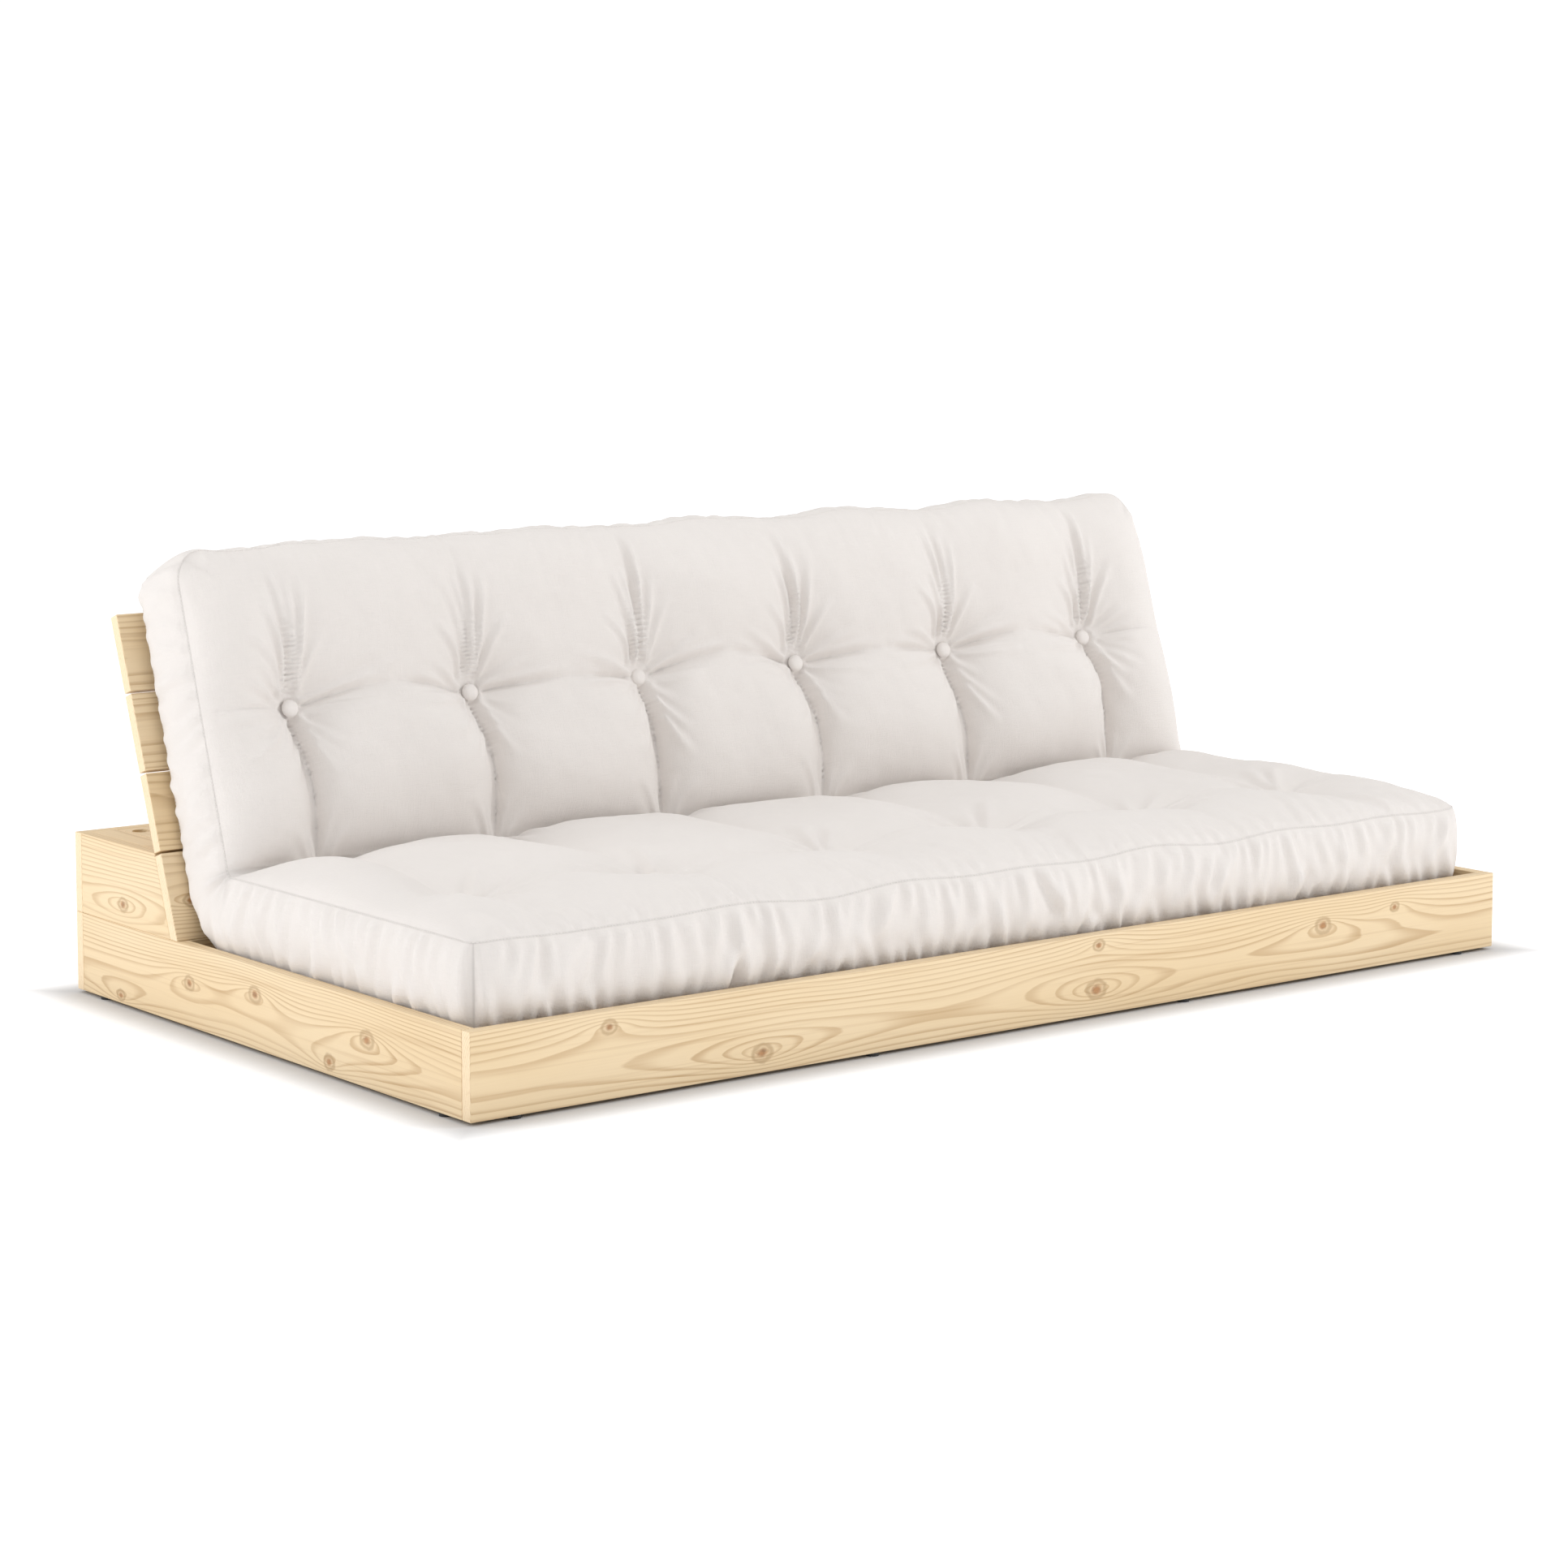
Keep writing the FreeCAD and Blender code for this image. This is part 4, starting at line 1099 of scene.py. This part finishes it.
class FUTON_OT_woodwork(bpy.types.Operator):
    """Give each pine board its own grain and knots"""
    bl_idname = "futon.woodwork"
    bl_label = "Pine boards"

    def execute(self, context):
        look = context.scene.futon_pine
        self.front(look)
        self.sides(look)
        self.rear(look)
        self.back(look)
        self.shelf(look)
        self.seat_base(look)
        return {"FINISHED"}

    def front(self, look):
        low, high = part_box("front_board")
        middle = (low.z + high.z) / 2
        knots = [
            (low.x + 0.22, high.z - 0.022, 0.009), (low.x + 0.475, middle - 0.032, 0.012),
            (low.x + 1.10, high.z - 0.016, 0.008), (low.x + 1.095, middle - 0.022, 0.013),
            (low.x + 1.57, middle + 0.018, 0.012), (low.x + 1.73, high.z - 0.030, 0.007)]
        board(look, "front_board", "X", (low.z + 0.045, low.y - 0.085), 1.0, knots)

    def sides(self, look):
        front_low, front_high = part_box("front_board")
        base, middle = front_low.z, (front_low.z + front_high.z) / 2
        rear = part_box("left_side_rail")[1].y
        rail_knots = [
            (rear - 0.33, middle + 0.005, 0.010), (rear - 0.52, middle + 0.018, 0.011),
            (rear - 0.82, middle + 0.006, 0.012), (rear - 0.12, base + 0.012, 0.008),
            (rear - 0.72, base + 0.018, 0.010)]
        for index, side in enumerate(("left", "right")):
            low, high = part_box(side + "_side_rail")
            outer, way = ((low.x, -1), (high.x, 1))[index]
            board(look, side + "_side_rail", "YZ", (middle - 0.02, outer + way * 0.07),
                  2.3 + index, rail_knots)
            low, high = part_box(side + "_box_side")
            outer = (low.x, high.x)[index]
            knots = [(high.y - 0.13, (low.z + high.z) / 2 - 0.03, 0.010)]
            board(look, side + "_box_side", "YZ", (low.z + 0.03, outer + way * 0.075),
                  4.1 + index, knots)
            rail_knots = [(along - 0.13, across - 0.01, size) for along, across, size in rail_knots]

    def rear(self, look):
        nodes = ("rear_board_lower", "rear_board_upper", "box_front_board")
        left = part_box("front_board")[0].x
        for index, node in enumerate(nodes, 1):
            low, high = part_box(node)
            knots = [(left + 0.31 * index + 0.62 * k, low.z + 0.035 + 0.04 * ((k + index) % 2),
                      0.010) for k in range(3)]
            board(look, node, "X", (low.z + 0.05, high.y + 0.08), 5.0 + index, knots)

    def back(self, look):
        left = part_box("front_board")[0].x
        for index in range(1, 5):
            node = "backrest_slat_%d" % index
            low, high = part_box(node)
            knots = [(left + (0.29 * index + 0.47 * k) % 1.9 + 0.03, low.z + 0.03 + 0.025 * k,
                      0.008) for k in range(3)]
            if index == 1:
                knots.append((left + 0.035, low.z + 0.055, 0.008))
            board(look, node, "X", (low.z + 0.05 - 0.01 * index, high.y + 0.07), 9.0 + index,
                  knots)
            node = "backrest_batten_%d" % index
            low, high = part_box(node)
            board(look, node, "Z", (low.x - 0.02, 0.02), 14.0 + index,
                  [(low.z + 0.08 * index, low.x + 0.03, 0.006)], BACK_LEAN)

    def shelf(self, look):
        low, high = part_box("storage_lid")
        knots = [(low.x + 0.33 + 0.41 * k, low.y + 0.04 + 0.03 * (k % 3), 0.009)
                 for k in range(4)]
        board(look, "storage_lid", "XZ", (low.y + 0.06, low.z - 0.06), 20.0, knots)
        low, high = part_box("shelf_strip")
        board(look, "shelf_strip", "XZ", (low.y + 0.02, low.z - 0.05), 21.0,
              [(low.x + 0.62, high.y - 0.02, 0.006)])
        for index, node in enumerate(("left_shelf_end", "right_shelf_end")):
            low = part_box(node)[0]
            board(look, node, "Y", (low.x + 0.01, low.z - 0.05), 22.0 + index)
        hidden = pine(look, "pine_cleats", "X", (0.1, 0.45), 24.0)
        for node in ("shelf_cleats", "front_beam", "rear_ledger", "front_ledger", "slat_tie"):
            dress(node, hidden)
        dress("beam_legs", pine(look, "pine_legs", "Z", (0.3, 0.2), 25.0))
        for index in (1, 2):
            board(look, "box_divider_%d" % index, "Y", (0.0, 0.02), 26.0 + index)

    def seat_base(self, look):
        for kind, count in (("fixed", 8), ("sliding", 7)):
            for index in range(1, count + 1):
                node = "%s_slat_%d" % (kind, index)
                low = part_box(node)[0]
                knot = (low.y + (0.17 * index) % 0.66 + 0.04, low.x + 0.02 + 0.05 * (index % 2),
                        0.008)
                board(look, node, "Y", (low.x + 0.045, low.z - 0.045),
                      30.0 + index * 1.7 + count, [knot])
        runner = pine(look, "pine_runners", "Y", (0.4, 0.0), 50.0)
        for node in ("left_runner", "right_runner"):
            dress(node, runner)


class FUTON_OT_fittings(bpy.types.Operator):
    """Finish the hinges, screws, glides and the box's floor"""
    bl_idname = "futon.fittings"
    bl_label = "Fittings"

    def execute(self, context):
        zinc = steel("zinc_plate", (0.62, 0.61, 0.58), 0.34)
        for node in frame["nodes"]:
            if "screws" in node or node.startswith("hinge_"):
                dress(node, zinc)
        glide = moulded("black_glides", (0.02, 0.02, 0.021))
        for node in ("frame_glides", "front_glides"):
            dress(node, glide)
        dress("box_floor", ply(context.scene.futon_pine, "thin_ply"))
        return {"FINISHED"}


# ---------------------------------------------------------------- buttons and seams

def node_group(name, sockets):
    """An empty Geometry Nodes tree with named number inputs."""
    tree = bpy.data.node_groups.new(name, "GeometryNodeTree")
    tree.interface.new_socket("Geometry", in_out="INPUT", socket_type="NodeSocketGeometry")
    tree.interface.new_socket("Geometry", in_out="OUTPUT", socket_type="NodeSocketGeometry")
    for label, kind in sockets:
        tree.interface.new_socket(label, in_out="INPUT", socket_type=kind)
    return tree


def add_node(tree, kind, settings=None, **links):
    """A geometry node with its settings and the values or links of its sockets."""
    node = tree.nodes.new(kind)
    for key, value in (settings or {}).items():
        setattr(node, key, value)
    for key, value in links.items():
        socket = node.inputs[key.replace("_", " ")]
        if isinstance(value, bpy.types.NodeSocket):
            tree.links.new(value, socket)
        else:
            socket.default_value = value
    return node


def solid_from(name, source, tree, values):
    """Run a tree on an object and keep the result as a plain mesh object."""
    modifier = source.modifiers.new(tree.name, "NODES")
    modifier.node_group = tree
    named = {item.name: item.identifier for item in tree.interface.items_tree
             if item.in_out == "INPUT"}
    for label, value in values.items():
        modifier[named[label]] = value
    context = bpy.context
    context.view_layer.update()
    evaluated = source.evaluated_get(context.evaluated_depsgraph_get())
    mesh = bpy.data.meshes.new_from_object(evaluated)
    piece = bpy.data.objects.new(name, mesh)
    context.scene.collection.objects.link(piece)
    bpy.data.objects.remove(source)
    return piece


def line_object(name, points):
    """A poly curve through points, as the path of a seam."""
    curve = bpy.data.curves.new(name, "CURVE")
    curve.dimensions = "3D"
    for row in points:
        spline = curve.splines.new("POLY")
        spline.points.add(len(row) - 1)
        spline.points.foreach_set("co", np.column_stack((row, np.ones(len(row)))).ravel())
    piece = bpy.data.objects.new(name, curve)
    bpy.context.scene.collection.objects.link(piece)
    return piece


def solid_tree(tree, instances, material):
    """The tree, closed with its instances made real and given a material."""
    real = add_node(tree, "GeometryNodeRealizeInstances", None,
                    Geometry=instances.outputs["Instances"])
    done = add_node(tree, "GeometryNodeSetMaterial", None, Geometry=real.outputs["Geometry"],
                    Material=material)
    leave = add_node(tree, "NodeGroupOutput")
    tree.links.new(done.outputs["Geometry"], leave.inputs["Geometry"])
    return tree


def stitch_tree(material):
    """Short stitches along a path: one small bent bar for each step."""
    tree = node_group("stitches_along_a_seam", (
        ("Pitch", "NodeSocketFloat"), ("Length", "NodeSocketFloat"), ("Thickness", "NodeSocketFloat")))
    entry = add_node(tree, "NodeGroupInput").outputs
    points = add_node(tree, "GeometryNodeCurveToPoints", {"mode": "LENGTH"},
                      Curve=entry["Geometry"], Length=entry["Pitch"])
    bar = add_node(tree, "GeometryNodeMeshCylinder", None, Vertices=6, Radius=entry["Thickness"],
                   Depth=entry["Length"])
    instances = add_node(tree, "GeometryNodeInstanceOnPoints", None, Points=points.outputs["Points"],
                         Instance=bar.outputs["Mesh"], Rotation=points.outputs["Rotation"])
    return solid_tree(tree, instances, material)


def button_tree(cap, material):
    """The same covered button at each point of a mesh."""
    tree = node_group("buttons_on_points", (("Turn", "NodeSocketFloat"),))
    entry = add_node(tree, "NodeGroupInput").outputs
    shape = add_node(tree, "GeometryNodeObjectInfo", {"transform_space": "ORIGINAL"}, Object=cap)
    tilt = add_node(tree, "ShaderNodeCombineXYZ", None, X=entry["Turn"])
    instances = add_node(tree, "GeometryNodeInstanceOnPoints", None, Points=entry["Geometry"],
                         Instance=shape.outputs["Geometry"], Rotation=tilt.outputs["Vector"])
    return solid_tree(tree, instances, material)


def button_cap(radius, height):
    """A covered button: a domed cap turned under at its rim, with slight pleats below."""
    outline = [(0.0, height), (0.35, 0.98 * height), (0.62, 0.90 * height), (0.84, 0.70 * height),
               (0.97, 0.42 * height), (1.0, 0.18 * height), (0.94, -0.04 * height),
               (0.80, -0.18 * height), (0.55, -0.22 * height), (0.0, -0.22 * height)]
    around = 40
    points, quads = [], []
    for row, (share, z) in enumerate(outline):
        for step in range(around):
            angle = 2 * math.pi * step / around
            pleat = 1 + (0.02 * math.sin(12 * angle) if 3 < row < 8 else 0.0)
            reach = max(share, 0.001) * radius * pleat
            points.append((reach * math.cos(angle), reach * math.sin(angle), z))
    for row in range(len(outline) - 1):
        for step in range(around):
            after = (step + 1) % around
            quads.append((row * around + step, (row + 1) * around + step,
                          (row + 1) * around + after, row * around + after))
    return mesh_object("button_cap", np.array(points), np.array(quads))


def point_object(name, points):
    mesh = bpy.data.meshes.new(name)
    mesh.from_pydata([tuple(p) for p in points], [], [])
    piece = bpy.data.objects.new(name, mesh)
    bpy.context.scene.collection.objects.link(piece)
    return piece


class FUTON_OT_buttons(bpy.types.Operator):
    """Set the covered buttons into the mattress"""
    bl_idname = "futon.buttons"
    bl_label = "Buttons"

    def execute(self, context):
        profile = Profile(context.scene.futon_mattress)
        cover = cotton(context.scene.futon_fabric, "cotton_buttons", "Object")
        cap = button_cap(1.12 * TUFT_RADIUS, BUTTON_HEIGHT)
        rows = (
            ("back_button_caps", "back_buttons", "mattress_back", profile.back_tuft, FOLD_ANGLE),
            ("seat_button_caps", "seat_buttons", "pull_out", profile.seat_tuft, 0.0))
        for name, node, body, along, turn in rows:
            y, z, dy, dz = (float(v[0]) for v in profile.at(np.array([along])))
            level = profile.half + BUTTON_LIFT
            places = [(x, y - dz * level, z + dy * level) for x in tuft_places()]
            source = point_object(name + "_places", places)
            piece = solid_from(name, source, button_tree(cap, cover), {"Turn": turn})
            smooth(piece)
            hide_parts(node)
            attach(piece, body)
        bpy.data.objects.remove(cap)
        return {"FINISHED"}


def smooth(piece):
    mesh = piece.data
    mesh.polygons.foreach_set("use_smooth", np.ones(len(mesh.polygons), dtype=bool))


class FUTON_OT_seams(bpy.types.Operator):
    """Sew the seams round the mattress"""
    bl_idname = "futon.seams"
    bl_label = "Stitched seams"

    def execute(self, context):
        shape = Mattress(context.scene.futon_mattress)
        thread = cotton(context.scene.futon_fabric, "sewing_thread", "Object")
        paths = []
        for panel in (shape.panel(True), shape.panel(False)):
            paths += [panel[:, 0], panel[:, -1], panel[0], panel[-1]]
        source = line_object("seam_paths", paths)
        piece = solid_from("seam_stitches", source, stitch_tree(thread), STITCHES)
        smooth(piece)
        bend_over_fold(piece)
        return {"FINISHED"}


# ---------------------------------------------------------------- stage

def light(name, place, target, size, watts):
    """A rectangular white light that looks at a target."""
    lamp = bpy.data.lights.new(name, "AREA")
    lamp.shape = "RECTANGLE"
    lamp.size, lamp.size_y = size
    lamp.energy = watts
    holder = bpy.data.objects.new(name, lamp)
    holder.location = place
    holder.rotation_euler = (Vector(target) - Vector(place)).to_track_quat("-Z", "Y").to_euler()
    bpy.context.scene.collection.objects.link(holder)


class FUTON_OT_stage(bpy.types.Operator):
    """Lay the pale floor and set the lights and the camera"""
    bl_idname = "futon.stage"
    bl_label = "Studio"

    def execute(self, context):
        look = context.scene.futon_studio
        self.floor(look)
        self.sky(look)
        light("key", KEY_PLACE, KEY_TARGET, KEY_SIZE, look.key_power)
        light("side", SIDE_PLACE, SIDE_TARGET, SIDE_SIZE, look.side_power)
        scene = context.scene
        self.camera(scene)
        scene.view_settings.view_transform = "Standard"
        scene.view_settings.look = "None"
        return {"FINISHED"}

    def floor(self, look):
        points = [(sx * FLOOR_HALF, sy * FLOOR_HALF, 0)
                  for sx, sy in ((-1, -1), (1, -1), (1, 1), (-1, 1))]
        piece = mesh_object("studio_floor", np.array(points), np.array([(0, 1, 2, 3)]))
        shade = Shade("paper_floor")
        x, y, z = shade.place()
        fibre = shade.noise(shade.vector(x, y, z), 40.0, 2.0)
        tone = shade.mix(shade.smooth(fibre, -0.4, 0.4), (0.62, 0.62, 0.63, 1),
                         (0.64, 0.64, 0.65, 1))
        # the paper glows all round, but the glow fades to nothing at the futon's outline, over 0.1 m:
        # a painted shadow that darkens the floor there along with its real shade
        low, high = (Vector(corner) for corner in CAD_BOUNDS)
        out_x = shade.math("ABSOLUTE", x) - high.x
        out_y = shade.math("ABSOLUTE", y - (low.y + high.y) / 2) - (high.y - low.y) / 2
        away = shade.math("MAXIMUM", out_x, out_y)
        glow_cut_for_painted_shadow = shade.mix(shade.smooth(away, 0.0, 0.10), (0, 0, 0, 1), (1, 1, 1, 1))
        piece.data.materials.append(shade.finish({
            "Base Color": tone, "Roughness": 0.9, "Emission Color": glow_cut_for_painted_shadow,
            "Emission Strength": look.floor_glow, "Specular IOR Level": 0.1}))

    def sky(self, look):
        """A white horizon under a dimmer dome that is brighter overhead and on the left."""
        shade = Shade("studio_sky", "worlds")
        x, _, z = shade.split(shade.node("ShaderNodeTexCoord", None, None, "Generated"))
        horizon = 1.0 - shade.smooth(shade.math("ABSOLUTE", z), 0.12, 0.24)
        dome = look.front_sky + shade.smooth(z, 0.30, 0.95) * look.top_sky
        dome = dome + shade.smooth(x * -1.0, 0.0, 0.9) * look.left_sky
        strength = shade.math("MAXIMUM", dome, horizon * 1.06)
        background = shade.node("ShaderNodeBackground", None, {
            "Color": (1, 1, 1, 1), "Strength": strength})
        output = shade.tree.nodes.new("ShaderNodeOutputWorld")
        shade.tree.links.new(background.socket, output.inputs["Surface"])
        bpy.context.scene.world = shade.material

    def camera(self, scene):
        data = bpy.data.cameras.new("camera")
        data.sensor_width = 36.0
        data.lens = CAMERA_LENS
        data.shift_y = CAMERA_SHIFT
        data.clip_end = 2000.0
        holder = bpy.data.objects.new("camera", data)
        holder.location = CAMERA_PLACE
        holder.rotation_euler = Euler((math.pi / 2 - CAMERA_DIP, 0, -CAMERA_HEADING), "XYZ")
        scene.collection.objects.link(holder)
        scene.camera = holder


# ---------------------------------------------------------------- add-on

PIECES = (FUTON_OT_woodwork, FUTON_OT_fittings, FUTON_OT_mattress, FUTON_OT_buttons,
          FUTON_OT_seams, FUTON_OT_stage)
SETTINGS = {"futon_mattress": MattressSizes, "futon_fabric": FabricLook, "futon_pine": PineLook,
            "futon_studio": StudioLook}


class FUTON_PT_panel(bpy.types.Panel):
    """Sizes, colours and the pieces in the order in which they are made"""
    bl_idname = "FUTON_PT_panel"
    bl_label = "Futon sofa bed"
    bl_space_type = "VIEW_3D"
    bl_region_type = "UI"
    bl_category = "Futon"

    def draw(self, context):
        for name in SETTINGS:
            box = self.layout.box()
            settings = getattr(context.scene, name)
            for key in settings.__annotations__:
                box.prop(settings, key)
        for piece in PIECES:
            self.layout.operator(piece.bl_idname)


def register():
    for settings in SETTINGS.values():
        bpy.utils.register_class(settings)
    for piece in PIECES:
        bpy.utils.register_class(piece)
    bpy.utils.register_class(FUTON_PT_panel)
    for name, settings in SETTINGS.items():
        setattr(bpy.types.Scene, name, PointerProperty(type=settings))


def unregister():
    for name in SETTINGS:
        delattr(bpy.types.Scene, name)
    bpy.utils.unregister_class(FUTON_PT_panel)
    for piece in reversed(PIECES):
        bpy.utils.unregister_class(piece)
    for settings in SETTINGS.values():
        bpy.utils.unregister_class(settings)


def main():
    register()
    bpy.ops.futon.woodwork()
    bpy.ops.futon.fittings()
    bpy.ops.futon.mattress()
    bpy.ops.futon.buttons()
    bpy.ops.futon.seams()
    bpy.ops.futon.stage()


if __name__ == "__main__":
    main()
